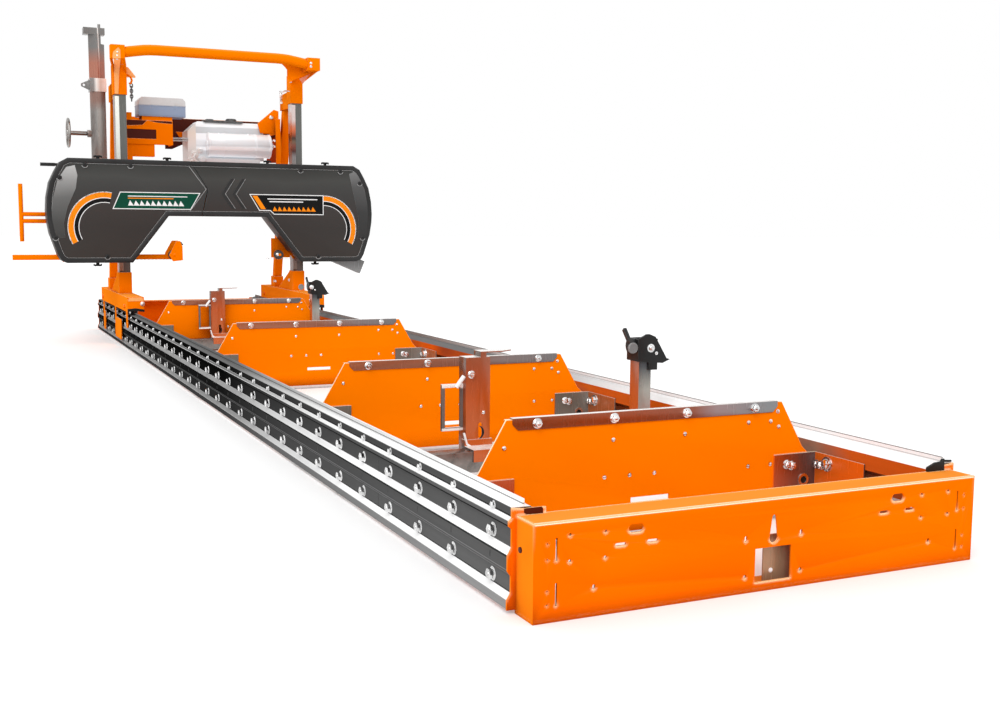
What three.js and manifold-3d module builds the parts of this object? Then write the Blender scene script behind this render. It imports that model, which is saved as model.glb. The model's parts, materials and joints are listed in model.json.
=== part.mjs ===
// Portable band sawmill: a track with bunks, a carriage with two masts, and a sawhead between them.
// Millimetres. X runs across the track, Y along it away from the loading end, Z up from the ground.
// The pieces are laid out from the loading end, then moved so that the origin is under their middle.
import * as THREE from 'three';
import { mergeVertices } from 'three/addons/utils/BufferGeometryUtils.js';
import Module from 'manifold-3d';

const wasm = await Module();
wasm.setup();

// Clearances and facets
const seatGap = 0.3;
const runGap = 0.6;
const overrun = 3;
const roundCount = 24;
const rodCount = 12;
const stepCount = 16;

// Track
const trackLength = 6700;
const crossmemberWidth = 1088;
const crossmemberHeight = 190;
const crossmemberDepth = 76;
const crossmemberWall = 5;
const windowWidth = 90;
const windowHeight = 70;
const windowBase = 19;
const keyholeBase = 97;
const keyholeRadius = 11;
const keyholeRise = 42;
const slitWidth = 4;
const slitHeight = 44;
const slitInset = 48;
const slitBase = 30;
const railInset = 17;
const railGauge = crossmemberWidth - 2 * railInset;
const finHeight = 220;
const finWall = 4;
const railWall = 3;
const panelReach = 32;
// Outline of a rail's sheet: shares of the panel's reach outward and of the fin's height
const panelShares = [
  [1, 0.039], [1, 0.123], [0.75, 0.182], [0.75, 0.336], [0.97, 0.382], [0.97, 0.514], [0.72, 0.577],
  [0.72, 0.75], [0.91, 0.773], [0.91, 0.818], [0.72, 0.841], [0.72, 0.932], [0, 0.932], [-0.44, 0.923],
  [-1.03, 0.864], [-1.03, 0.69],
];
const panelSeatShare = 0.75;
const endPlateRim = 4;
const endPlateInset = 45;

// Bunks and their wear strips
const bunkPlaces = [466, 1643, 3221, 4829];
const bunkTop = 300;
const bunkBase = 15;
const bunkInset = 37;
const bunkHalf = railGauge / 2 - bunkInset;
const shoulderInset = 42;
const bunkShoulder = bunkHalf - shoulderInset;
const topInset = 110;
const bunkTopHalf = bunkHalf - topInset;
const bunkStep = 183;
const bunkWall = 5;
const bunkFlange = 14;
const bunkFootFlange = 40;
const bunkSlotLength = 106;
const bunkSlotHeight = 12;
const bunkSlotRise = 68;
const bracketWall = 4;
const bracketReach = 130;
const bracketBase = 50;
const bracketTop = 166;
const bracketLegs = [180, 180, 180, 60];
const stripInset = 15;
const stripHalf = bunkTopHalf - stripInset;
const stripFace = 25;
const stripWall = 3;
const stripChamfer = 14;

// Cross tubes that the log stops and log dogs slide on
const tubePlaces = [1130, 4700];
const tubeSize = 60;
const tubeBase = 35;
const tubeWall = 4;

// Log stops
const stopCentre = -124;
const stopWidth = 76;
const stopDepth = 50;
const stopWall = 4;
const stopBase = 80;
const stopTop = 355;
const stopSlotRise = 40;
const stopSlotSet = 8;
const stopSlotWidth = 12;
const stopSlotHeight = 46;
const toothReach = 78;
const toothRise = 12;
const toothNeck = 18;
const toothSet = 46;
const handleDrop = 77;
const handleHeight = 135;
const handleReach = 66;
const handleRod = 10;
const saddleWall = 5;
const saddleSkirt = 35;
const saddleRise = 18;
const pocketReach = 20;

// Log dogs
const dogSets = [164, 125];
const dogCentres = dogSets.map((set) => railGauge / 2 - set);
const dogWidth = 42;
const dogDepth = 50;
const dogWall = 4;
const dogBase = 40;
const dogTop = 352;
const rackReach = 9;
const rackDepth = 24;
const rackHeight = 170;
const rackToothCount = 17;
const headWall = 7;
const headBase = 336;
const headHeight = 66;
const chinDrop = 26;
const chinLeft = 8;
// Outline of the head's front plate, from the post's middle and from the head's base
const beakReach = 82;
const beakPlace = 70;
const beakRise = 7;
const browPlace = 30;
const browRise = 72;
const crownPlace = 10;
const crownRise = 80;
const leverRadius = 24;
const leverWall = 10;
const leverPlace = 44;
const leverLength = 62;
const leverAngle = 0.84;
const leverPinRadius = 6;

// Masts and carriage
const mastSetback = 1200;
const mastPlace = trackLength - mastSetback;
const mastWidth = 64;
const mastDepth = 80;
const mastWall = 5;
const mastTop = 1640;
const slideWidth = 24;
const slideWall = 3;
const slideInset = 10;
const baseFront = 440;
const baseRear = 760;
const baseWidth = 92;
const baseTop = 310;
const baseDrop = 84;
const baseWall = 6;
const footHeight = 125;
const footWall = 5;
const gussetReach = 310;
const gussetWall = 8;
const keeperWall = 5;
// Keepers hang from the base's outer wall: from the base's front end to each, its length and its low end
const keepers = [[15, 45, 135], [290, 260, 45], [1040, 80, 45]];
const keeperPlateTop = 165;
const keeperStrap = 40;
const rollerRadius = 45;
const grooveRadius = 33;
const rollerWidth = 40;
const grooveWidth = 8;
const axleRadius = 8;
const axleNut = 13;
const axleNutReach = 9;
const rollerInset = 95;
const braceSize = 50;
const braceTopSet = 190;
const braceTop = 1490;
const braceFootSet = 510;
const socketHeight = 70;

// Mast caps and crossbar
const capBase = 1474;
const capWall = 6;
const armTop = 1724;
const armLow = 1650;
const armKnee = 1600;
const armSet = 265;
const armLean = 40;
const blockHalf = 30;
const earBase = 1450;
const earTop = 1545;
const barRadius = 30;
const barRise = 1708;
const barDrop = 26;
const barBend = 395;

// Sawhead: band wheels, blade and covers
const wheelHeight = 756;
const wheelRadius = 241.3;
const wheelPlaneBefore = 115;
const wheelPlane = mastPlace - wheelPlaneBefore;
const rimWidth = 34;
const rimWall = 16;
const webWall = 10;
const hubRadius = 38;
const hubReach = 25;
const shaftRadius = 15;
const bladeWidth = 32;
const bladeWall = 1.1;
const coverFrontBefore = 190;
const coverFront = mastPlace - coverFrontBefore;
const coverWall = 4;
const coverTopAbove = 336;
const coverTop = wheelHeight + coverTopAbove;
const coverBaseBelow = 259;
const coverBase = wheelHeight - coverBaseBelow;
const wheelOutset = 138;
const wheelCentre = railGauge / 2 + wheelOutset;
const coverMargin = 300;
const coverHalf = wheelCentre + coverMargin;
// Outline of a cover's end: shares of its half length and of its height
const coverShares = [
  [0.894, 0], [0.925, 0.025], [0.943, 0.077], [0.964, 0.18], [0.984, 0.282], [0.997, 0.41], [1, 0.501],
  [0.995, 0.629], [0.978, 0.768], [0.948, 0.872], [0.917, 0.961], [0.8746, 1],
];
const throatTopAbove = 14;
const throatTop = wheelHeight + throatTopAbove;
const throatHalf = 290;
const throatFoot = 500;
const splitHalf = 6;
const splitPeak = -60;
const splitFoot = -160;
const splitRiseAbove = 174;
const splitRise = wheelHeight + splitRiseAbove;
const bladeSlotHalf = 22;
const panFrontBefore = 60;
const panFront = mastPlace - panFrontBefore;
const panWall = 6;
const panInset = 1;

// Sawhead frame
const sleeveBaseBelow = 116;
const sleeveBase = wheelHeight - sleeveBaseBelow;
const sleeveTopAbove = 204;
const sleeveTop = wheelHeight + sleeveTopAbove;
const sleeveGap = 0.6;
const sleeveWall = 6;
const stiffHalf = 400;
const stiffDepth = 30;
const stiffBaseAbove = 74;
const stiffBase = wheelHeight + stiffBaseAbove;
const stiffTopAbove = 174;
const stiffTop = wheelHeight + stiffTopAbove;
const armHalf = 14;
const armShift = 27;
const rearBeamFrontBehind = 140;
const rearBeamFront = mastPlace + rearBeamFrontBehind;
const rearBeamDepth = 50;
const rearBeamBaseAbove = 44;
const rearBeamBase = wheelHeight + rearBeamBaseAbove;
const rearBeamTopAbove = 124;
const rearBeamTop = wheelHeight + rearBeamTopAbove;
const plateWall = 8;
const deckLeft = -150;
const deckRight = 440;
const deckFrontBehind = 100;
const deckFront = mastPlace + deckFrontBehind;
const deckBackBehind = 450;
const deckBack = mastPlace + deckBackBehind;
const postHalf = 470;
const postWidth = 30;
const topBeamFrontBehind = 430;
const topBeamFront = mastPlace + topBeamFrontBehind;
const topBeamDepth = 40;
const topBeamBaseAbove = 544;
const topBeamBase = wheelHeight + topBeamBaseAbove;
const topBeamTopAbove = 634;
const topBeamTop = wheelHeight + topBeamTopAbove;
const boxLeft = -470;
const boxRight = -200;
const boxBaseAbove = 446;
const boxBase = wheelHeight + boxBaseAbove;
const boxTopAbove = 591;
const boxTop = wheelHeight + boxTopAbove;
const boxDepth = 120;
const boxSlotWidth = 170;
const boxSlotHeight = 52;
const boxSlotInset = 60;
const boxSlotRise = 45;
const lowBoxRight = -310;
const lowBoxBaseAbove = 374;
const lowBoxBase = wheelHeight + lowBoxBaseAbove;
const trayLeft = -380;
const trayTopAbove = 616;
const trayTop = wheelHeight + trayTopAbove;
const shelfTopAbove = 184;
const shelfTop = wheelHeight + shelfTopAbove;
const shelfWall = 10;
const bossRadius = 32;
const bossReach = 84;
const slotReach = 13;

// Engine, pulleys and belt
const engineLeft = -100;
const engineRight = 330;
const engineFrontBehind = 115;
const engineFront = mastPlace + engineFrontBehind;
const engineBackBehind = 380;
const engineBack = mastPlace + engineBackBehind;
const engineWaistAbove = 414;
const engineWaist = wheelHeight + engineWaistAbove;
const engineTopAbove = 629;
const engineTop = wheelHeight + engineTopAbove;
const shroudFrontBehind = 200;
const shroudFront = mastPlace + shroudFrontBehind;
const shroudChamfer = 45;
const mufflerRadius = 73;
const mufflerLeft = 12;
const mufflerRight = 403;
const mufflerPlaceBehind = 162;
const mufflerPlace = mastPlace + mufflerPlaceBehind;
const mufflerHeightAbove = 459;
const mufflerHeight = wheelHeight + mufflerHeightAbove;
const crankCentre = 330;
const crankHeightAbove = 254;
const crankHeight = wheelHeight + crankHeightAbove;
const crankRadius = 12;
const smallPulley = 55;
const bigPulley = 140;
const pulleyFrontBehind = 65;
const pulleyFront = mastPlace + pulleyFrontBehind;
const pulleyWidth = 25;
const pulleyRim = 15;
const beltWall = 8;
const beltWidth = 22;
const filterLeft = -398;
const filterRight = -120;
const filterFrontBehind = 140;
const filterFront = mastPlace + filterFrontBehind;
const filterBackBehind = 300;
const filterBack = mastPlace + filterBackBehind;
const filterTopAbove = 730;
const filterTop = wheelHeight + filterTopAbove;
const filterChamfer = 18;

// Lift column and hand wheel
const columnOutset = 110;
const columnCentre = -railGauge / 2 - columnOutset;
const columnPlaceBehind = 100;
const columnPlace = mastPlace + columnPlaceBehind;
const columnRadius = 44.5;
const columnWall = 4;
const collarBaseAbove = 738;
const collarBase = wheelHeight + collarBaseAbove;
const collarTopAbove = 815;
const collarTop = wheelHeight + collarTopAbove;
const collarHalf = 46;
const postSquare = 63.5;
const postTopAbove = 1070;
const postTop = wheelHeight + postTopAbove;
const notchSet = 24;
const notchHeight = 54;
const capHeight = 36;
const capLeft = 73;
const capRight = 46;
const capHalfDepth = 32;
const capBolt = 8;
const capBoltSet = 18;
const capBoltRise = 25;
const lugReach = 46;
const lugHeight = 62;
const lugWall = 8;
const lugHole = 7;
const handHeightAbove = 495;
const handHeight = wheelHeight + handHeightAbove;
const handRadius = 80;
const handRod = 8;
const handOutset = 171;
const handPlace = columnCentre - handOutset;
const handShaft = 13;
const handHub = 22;
const handBoss = 20;
const spokeCount = 3;

// Tension lever, push handle, blade guides and chute
const idlerBlock = 80;
const idlerDepth = 24;
const idlerRailWall = 10;
const idlerRailHalf = 75;
const leverPivotInset = 245;
const leverPivotX = leverPivotInset - coverHalf;
const leverPivotZAbove = 302;
const leverPivotZ = wheelHeight + leverPivotZAbove;
const leverHub = 18;
const leverPin = 6;
const leverDepth = 12;
const leverEndOutset = 14;
const leverEnd = -coverHalf - leverEndOutset;
const leverGrip = 79;
const leverGripRadius = 10;
const leverHeight = 16;
const pushOutset = 125;
const pushPlace = -coverHalf - pushOutset;
const pushBaseBelow = 139;
const pushBase = wheelHeight - pushBaseBelow;
const pushTopAbove = 189;
const pushTop = wheelHeight + pushTopAbove;
const pushRadius = 12;
const pushTubeRises = [-22, 17];
const pushTubeHeights = pushTubeRises.map((rise) => wheelHeight + rise);
const pushInset = 85;
const pushInner = pushInset - coverHalf;
const guideOutset = 180;
const guideLeft = -coverHalf - guideOutset;
const guideRight = -215;
const guideBaseBelow = 245;
const guideBase = wheelHeight - guideBaseBelow;
const guideHeight = 31;
const guideWall = 8;
const guideBracketWidth = 80;
const guideBracketTopBelow = 132;
const guideBracketTop = wheelHeight - guideBracketTopBelow;
const lugInsets = [105, 365];
const lugPlaces = lugInsets.map((set) => set - coverHalf);
const lugHalf = 15;
const lugMargin = 12;
const guideRollerRadius = 25;
const guideFlangeRadius = 29;
const guideFlangeWall = 8;
const guideStub = 8;
const fixedGuide = 385;
const tabRight = 470;
const tabLeft = 350;
const tabBaseBelow = 236;
const tabBase = wheelHeight - tabBaseBelow;
const tabTopBelow = 116;
const tabTop = wheelHeight - tabTopBelow;
const chuteWall = 3;
const chuteDepth = 60;
const chuteHeight = 84;
const chuteLength = 310;
const chuteInset = 305;
const chuteX = coverHalf - chuteInset;
const chuteZBelow = 181;
const chuteZ = wheelHeight - chuteZBelow;
const chuteAngle = -0.4;

// Cover knobs
const knobShares = [-0.6974, -0.2922, 0.3285, 0.7057];
const knobPlacesTop = knobShares.map((share) => share * coverHalf);
const knobBaseShares = [-0.715, 0.6332];
const knobPlacesBase = knobBaseShares.map((share) => share * coverHalf);
const knobPlaceBefore = 125;
const knobPlace = mastPlace - knobPlaceBefore;
const knobRadius = 9;
const knobHeight = 20;
const wingLength = 46;
const wingWidth = 11;
const wingHeight = 9;
const studRadius = 4;
const studReach = 14;

// Materials
const finish = {
  orange: { color: 0xff7a08, roughness: 0.45, metalness: 0.0 },
  steel: { color: 0x9a9c9e, roughness: 0.35, metalness: 0.9 },
  stainless: { color: 0xc8c6c4, roughness: 0.25, metalness: 1.0 },
  brown: { color: 0x8c8480, roughness: 0.35, metalness: 0.9 },
  charcoal: { color: 0x3c3a38, roughness: 0.5, metalness: 0.0 },
  black: { color: 0x161616, roughness: 0.5, metalness: 0.0 },
  silver: { color: 0xd8dadc, roughness: 0.4, metalness: 0.5 },
  pale: { color: 0xb4bccb, roughness: 0.5, metalness: 0.0 },
  rubber: { color: 0x1c1c1c, roughness: 0.9, metalness: 0.0 },
};

// Solids from three.js geometry, joined and cut as manifolds
function solid(source) {
  const bare = source.clone();
  bare.deleteAttribute('normal');
  bare.deleteAttribute('uv');
  const merged = mergeVertices(bare, runGap / 1000);
  const positions = merged.attributes.position.array;
  const index = [...merged.index.array];
  const faces = [];
  for (let i = 0; i < index.length; i += 3) {
    const [a, b, c] = index.slice(i, i + 3);
    if (a !== b && b !== c && c !== a) faces.push([a, b, c]);
  }
  const corner = (i) => new THREE.Vector3().fromArray(positions, 3 * i);
  let volume = 0;
  for (const [a, b, c] of faces) volume += corner(a).dot(corner(b).cross(corner(c)));
  const turned = volume < 0 ? faces.map(([a, b, c]) => [a, c, b]) : faces;
  return new wasm.Manifold(new wasm.Mesh({
    numProp: 3,
    vertProperties: Float32Array.from(positions),
    triVerts: Uint32Array.from(turned.flat()),
  }));
}

function join(...parts) {
  return parts.flat().reduce((sum, part) => sum.add(part));
}

function cut(body, ...tools) {
  return tools.flat().reduce((rest, tool) => rest.subtract(tool), body);
}

// A box between two values on each axis
function box(x0, x1, y0, y1, z0, z1) {
  const block = new THREE.BoxGeometry(1, 1, 1);
  block.scale(x1 - x0, y1 - y0, z1 - z0);
  block.translate((x0 + x1) / 2, (y0 + y1) / 2, (z0 + z1) / 2);
  return solid(block);
}

// An outline, with holes, drawn in two axes and drawn out along the third
const planes = {
  X: [new THREE.Vector3(0, 1, 0), new THREE.Vector3(0, 0, 1), new THREE.Vector3(1, 0, 0)],
  Y: [new THREE.Vector3(0, 0, 1), new THREE.Vector3(1, 0, 0), new THREE.Vector3(0, 1, 0)],
  Z: [new THREE.Vector3(1, 0, 0), new THREE.Vector3(0, 1, 0), new THREE.Vector3(0, 0, 1)],
};

function prism(axis, outline, from, to, holes = []) {
  const swap = ([u, v]) => (axis === 'Y' ? new THREE.Vector2(v, u) : new THREE.Vector2(u, v));
  const edge = outline.map(swap);
  if (THREE.ShapeUtils.isClockWise(edge)) edge.reverse();
  const shape = new THREE.Shape(edge);
  shape.holes = holes.map((hole) => new THREE.Path(hole.map(swap)));
  const drawn = new THREE.ExtrudeGeometry(shape, { depth: to - from, bevelEnabled: false });
  drawn.applyMatrix4(new THREE.Matrix4().makeBasis(...planes[axis]));
  drawn.translate(...planes[axis][2].clone().multiplyScalar(from).toArray());
  return solid(drawn);
}

// A round bar along an axis; u and v are its centre in the other two axes, in order
function rod(axis, u, v, radius, from, to, count = rodCount) {
  return prism(axis, circle(u, v, radius, count), from, to);
}

function circle(u, v, radius, count = rodCount) {
  return arc(u, v, radius, 0, 2 * Math.PI, count).slice(0, -1);
}

function arc(u, v, radius, start, end, count) {
  return Array.from({ length: count + 1 }, (_, i) => {
    const angle = start + ((end - start) * i) / count;
    return [u + radius * Math.cos(angle), v + radius * Math.sin(angle)];
  });
}

function rectangle(u0, u1, v0, v1) {
  return [[u0, v0], [u1, v0], [u1, v1], [u0, v1]];
}

// A sheet of even thickness along a path of points, as a closed outline
function ribbon(path, wall) {
  const sides = path.map(([u, v], i) => {
    const before = new THREE.Vector2(...path[Math.max(i - 1, 0)]);
    const after = new THREE.Vector2(...path[Math.min(i + 1, path.length - 1)]);
    const here = new THREE.Vector2(u, v);
    const intoDir = here.clone().sub(before).normalize();
    const outDir = after.clone().sub(here).normalize();
    if (i === 0) intoDir.copy(outDir);
    if (i === path.length - 1) outDir.copy(intoDir);
    const mitre = new THREE.Vector2(-intoDir.y - outDir.y, intoDir.x + outDir.x).normalize();
    const reach = wall / 2 / mitre.dot(new THREE.Vector2(-intoDir.y, intoDir.x));
    return [[u + mitre.x * reach, v + mitre.y * reach], [u - mitre.x * reach, v - mitre.y * reach]];
  });
  return [...sides.map((side) => side[0]), ...sides.map((side) => side[1]).reverse()];
}

// An outline moved inwards by an even wall; outlines here run anticlockwise
function inset(outline, wall) {
  const count = outline.length;
  return outline.map(([u, v], i) => {
    const before = new THREE.Vector2(...outline[(i + count - 1) % count]);
    const after = new THREE.Vector2(...outline[(i + 1) % count]);
    const here = new THREE.Vector2(u, v);
    const intoDir = here.clone().sub(before).normalize();
    const outDir = after.clone().sub(here).normalize();
    const mitre = new THREE.Vector2(-intoDir.y - outDir.y, intoDir.x + outDir.x).normalize();
    const reach = wall / mitre.dot(new THREE.Vector2(-intoDir.y, intoDir.x));
    return [u + mitre.x * reach, v + mitre.y * reach];
  });
}

// A turned solid about an axis that runs along Y or X through u, v
function turned(axis, u, v, profile, count = roundCount) {
  const points = profile.map(([radius, along]) => new THREE.Vector2(radius, along));
  const shape = new THREE.LatheGeometry(points, count);
  if (axis === 'X') {
    shape.rotateZ(-Math.PI / 2);
    shape.translate(0, u, v);
  } else {
    shape.translate(u, 0, v);
  }
  return solid(shape);
}

const mill = new THREE.Group();
const pieces = [];

function place(name, body, look) {
  const mesh = body.getMesh();
  const shape = new THREE.BufferGeometry();
  const count = mesh.numProp;
  const positions = new Float32Array((mesh.vertProperties.length / count) * 3);
  for (let i = 0; i < positions.length / 3; i += 1) {
    positions.set(mesh.vertProperties.subarray(i * count, i * count + 3), 3 * i);
  }
  shape.setAttribute('position', new THREE.BufferAttribute(positions, 3));
  shape.setIndex([...mesh.triVerts]);
  shape.computeVertexNormals();
  const piece = new THREE.Mesh(shape, new THREE.MeshStandardMaterial(look));
  piece.name = name;
  mill.add(piece);
  pieces.push(piece);
}

const sides = { left: -1, right: 1 };
const mirror = (outline, side) => outline.map(([u, v]) => [side * u, v]);

// Track: crossmembers
const fin = railGauge / 2;

const panelPath = panelShares.map(([reach, rise]) => [fin + reach * panelReach, rise * finHeight]);

function crossmember(back) {
  const half = crossmemberWidth / 2;
  const at = (from, to) => (back ? [trackLength - to, trackLength - from] : [from, to]);
  const shell = cut(
    box(-half, half, ...at(0, crossmemberDepth), 0, crossmemberHeight),
    box(-half + crossmemberWall, half - crossmemberWall, ...at(crossmemberWall, crossmemberDepth + overrun),
      crossmemberWall, crossmemberHeight - crossmemberWall),
  );
  const through = at(-overrun, crossmemberWall + overrun);
  const keyhole = [
    ...arc(0, keyholeBase + keyholeRadius, keyholeRadius, Math.PI, 2 * Math.PI, rodCount / 2),
    ...arc(0, keyholeBase + keyholeRadius + keyholeRise, keyholeRadius / 2, 0, Math.PI, rodCount / 2),
  ];
  const cuts = [
    box(-windowWidth / 2, windowWidth / 2, ...through, windowBase, windowBase + windowHeight),
    prism('Y', keyhole, ...through),
  ];
  for (const side of [-1, 1]) {
    const middle = side * (half - slitInset);
    for (const low of [slitBase, crossmemberHeight - slitBase - slitHeight]) {
      cuts.push(box(middle - slitWidth / 2, middle + slitWidth / 2, ...through, low, low + slitHeight));
    }
  }
  const lip = panelPath[12][1] - railWall;
  const rim = [
    [fin - endPlateInset, panelPath[0][1]], ...panelPath.slice(0, 12).map(([u, v]) => [u + endPlateRim, v]),
    [fin, lip], [fin - endPlateInset, lip],
  ];
  const ends = [-1, 1].map((side) => prism('Y', mirror(rim, side),
    ...at(crossmemberDepth - crossmemberWall, crossmemberDepth)));
  return cut(join(shell, ends), cuts);
}

place('front_crossmember', crossmember(false), finish.orange);
place('rear_crossmember', crossmember(true), finish.orange);

// Track: rails, each a folded sheet with a running fin
function rail(side) {
  const from = crossmemberDepth + seatGap;
  const to = trackLength - crossmemberDepth - seatGap;
  const finFoot = rectangle(fin - finWall / 2, fin + finWall / 2, panelPath[12][1], finHeight);
  return join(
    prism('Y', mirror(ribbon(panelPath, railWall), side), from, to),
    prism('Y', mirror(finFoot, side), from, to),
  );
}

place('left_rail', rail(-1), finish.steel);
place('right_rail', rail(1), finish.steel);

// Inner face of a rail's panel, where bunks and cross tubes are bolted
const panelInner = fin + panelSeatShare * panelReach - railWall / 2 - seatGap;

// Inner lips of the rails, where the bunks' brackets are bolted
const lipInner = fin + panelShares[15][0] * panelReach - railWall / 2 - seatGap;

// Bunks: folded plates with sloped ends and a slot, and a bracket along the rail at each end
bunkPlaces.forEach((near, i) => {
  const outline = [
    [-bunkHalf, bunkBase], [bunkHalf, bunkBase], [bunkHalf, bunkStep - bunkFootFlange],
    [bunkShoulder, bunkStep], [bunkTopHalf, bunkTop], [-bunkTopHalf, bunkTop],
    [-bunkShoulder, bunkStep], [-bunkHalf, bunkStep - bunkFootFlange],
  ];
  const slotLow = bunkBase + bunkSlotRise;
  const slot = box(-bunkSlotLength / 2, bunkSlotLength / 2, near - overrun, near + bunkWall + overrun,
    slotLow, slotLow + bunkSlotHeight);
  const brackets = [-1, 1].map((side) => join(
    prism('Y', mirror(rectangle(bunkHalf - bracketReach, lipInner, bracketBase, bracketTop), side),
      near - bracketWall, near + bunkWall / 2),
    prism('Y', mirror(rectangle(lipInner - bracketWall, lipInner, bracketBase, bracketTop), side),
      near - bracketLegs[i], near),
  ));
  const plate = join(
    prism('Y', outline, near, near + bunkWall),
    box(-bunkTopHalf, bunkTopHalf, near, near + bunkFlange, bunkTop - bunkWall, bunkTop),
    box(-bunkHalf, bunkHalf, near, near + bunkFootFlange, bunkBase, bunkBase + bunkWall),
    brackets,
  );
  place(`bunk_${i + 1}`, cut(plate, slot), finish.orange);

  const face = near - seatGap;
  const low = bunkTop - stripFace;
  const over = bunkTop + seatGap;
  const strip = join(
    prism('Y', [
      [-stripHalf + stripChamfer, low], [stripHalf - stripChamfer, low], [stripHalf, low + stripChamfer],
      [stripHalf, over + stripWall], [-stripHalf, over + stripWall], [-stripHalf, low + stripChamfer],
    ], face - stripWall, face),
    box(-stripHalf, stripHalf, face - stripWall, near + bunkFlange, over, over + stripWall),
  );
  place(`bunk_strip_${i + 1}`, strip, finish.stainless);
});

// Cross tubes, and on each a log stop and a log dog
tubePlaces.forEach((near, i) => {
  const far = near + tubeSize;
  const top = tubeBase + tubeSize;
  const wall = rectangle(near, far, tubeBase, top);
  place(`cross_tube_${i + 1}`,
    prism('X', wall, -panelInner, panelInner, [inset(wall, tubeWall)]), finish.brown);

  // Slide: a saddle over the tube, with a pocket behind it for the stop's post
  const half = stopWidth / 2;
  const outer = half + runGap + saddleWall;
  const back = far + seatGap + saddleWall;
  const saddleTop = top + seatGap + saddleWall;
  const slide = join(
    box(stopCentre - outer, stopCentre + outer, near - seatGap - saddleWall, back, top + seatGap, saddleTop),
    box(stopCentre - outer, stopCentre + outer, near - seatGap - saddleWall, near - seatGap,
      saddleTop - saddleSkirt, saddleTop),
    box(stopCentre - outer, stopCentre + outer, far + seatGap, back, saddleTop - saddleSkirt,
      saddleTop + saddleRise),
    box(stopCentre - outer, stopCentre - half - runGap, far + seatGap, back + pocketReach,
      saddleTop - saddleSkirt, saddleTop + saddleRise),
    box(stopCentre + half + runGap, stopCentre + outer, far + seatGap, back + pocketReach,
      saddleTop - saddleSkirt, saddleTop + saddleRise),
  );
  place(`stop_slide_${i + 1}`, slide, finish.brown);

  // Stop: a channel post with a tooth on top, a slot at its foot and a handle at its side
  const front = back + seatGap;
  const left = stopCentre - half;
  const right = stopCentre + half;
  const channel = cut(
    box(left, right, front, front + stopDepth, stopBase, stopTop),
    box(left + stopWall, right - stopWall, front + stopWall, front + stopDepth + overrun,
      stopBase - overrun, stopTop - stopWall),
  );
  const slotLow = stopBase + stopSlotRise;
  const slotHigh = slotLow + stopSlotHeight;
  const slotHalf = stopSlotWidth / 2;
  const slotPlace = stopCentre + stopSlotSet;
  const slot = prism('Y', [
    [slotPlace - slotHalf, slotLow], [slotPlace + slotHalf, slotLow],
    ...arc(slotPlace, slotHigh - slotHalf, slotHalf, 0, Math.PI, rodCount / 2),
  ], front - overrun, front + stopWall + overrun);
  const toothFoot = stopTop + toothRise;
  const tooth = join(
    prism('Z', [
      [left + toothSet, front], [right + toothReach / 2, front], [right + toothReach, front + stopDepth / 2],
      [right, front + stopDepth], [left + toothSet, front + stopDepth],
    ], toothFoot, toothFoot + stopWall),
    box(left + toothSet, left + toothSet + toothNeck, front, front + stopDepth, stopTop - stopWall / 2,
      toothFoot + stopWall),
  );
  const grip = rectangle(left - handleReach, left + stopWall / 2,
    stopTop - handleDrop - handleHeight, stopTop - handleDrop);
  const middle = front + stopDepth / 2;
  const handle = prism('Y', grip, middle - handleRod / 2, middle + handleRod / 2, [inset(grip, handleRod)]);
  place(`log_stop_${i + 1}`, join(cut(channel, slot), tooth, handle), finish.brown);

  // Dog: a tube post on its own saddle in front of the tube, with a toothed rack
  const centre = dogCentres[i];
  const dogBack = near - seatGap;
  const dogFront = dogBack - dogDepth;
  const dogSide = dogWidth / 2;
  const postWall = rectangle(centre - dogSide, centre + dogSide, dogFront, dogBack);
  const rackPlace = (dogFront + dogBack) / 2;
  const rackLow = dogTop - rackHeight;
  const pitch = rackHeight / rackToothCount;
  const teeth = Array.from({ length: rackToothCount }, (_, k) => [
    [centre + dogSide + rackReach / 2, rackLow + k * pitch],
    [centre + dogSide + rackReach, rackLow + k * pitch + pitch / 2],
  ]).flat();
  const rack = prism('Y', [
    [centre + dogSide - dogWall / 2, rackLow], ...teeth,
    [centre + dogSide + rackReach / 2, dogTop], [centre + dogSide - dogWall / 2, dogTop],
  ], rackPlace - rackDepth / 2, rackPlace + rackDepth / 2);
  const post = join(
    prism('Z', postWall, dogBase, dogTop, [inset(postWall, dogWall)]),
    rack,
    box(centre - dogSide, centre + dogSide, dogBack - dogWall, back, top + seatGap, saddleTop),
    box(centre - dogSide, centre + dogSide, far + seatGap, back, saddleTop - saddleSkirt, saddleTop),
  );
  place(`dog_post_${i + 1}`, post, finish.steel);

  // Head: a black casting around the post, with a beaked front plate and a lever on its left side
  const headTop = headBase + headHeight;
  const headLeft = centre - dogSide - runGap - headWall;
  const headRight = centre + dogSide + rackReach + runGap + headWall;
  const headFront = dogFront - runGap - headWall;
  const shell = cut(
    box(headLeft, headRight, headFront, dogBack + runGap + headWall, headBase, headTop),
    box(centre - dogSide - runGap, centre + dogSide + rackReach + runGap, dogFront - runGap,
      dogBack + runGap, headBase - overrun, headTop + overrun),
  );
  const beakPlate = prism('Y', [
    [headLeft, headBase], [centre + beakPlace - headWall * 2, headBase - beakRise],
    [centre + beakReach, headBase + beakRise / 2], [centre + beakPlace, headBase + beakRise],
    [centre + browPlace, headBase + browRise], [centre + crownPlace, headBase + crownRise],
    [centre, headBase + crownRise], [headLeft, headTop],
  ], headFront, dogFront - runGap);
  const chin = box(centre + chinLeft, headRight, headFront, dogFront - runGap, headBase - chinDrop,
    headBase + headWall);
  const leverHeightAt = headBase + leverPlace;
  const leverAxis = [(dogFront + dogBack) / 2, leverHeightAt];
  const leverRight = headLeft - seatGap;
  const leverLeft = leverRight - leverWall;
  const pin = rod('X', ...leverAxis, leverPinRadius, leverLeft - seatGap, headLeft + headWall / 2);
  place(`dog_head_${i + 1}`, join(shell, beakPlate, chin, pin), finish.black);

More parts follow.
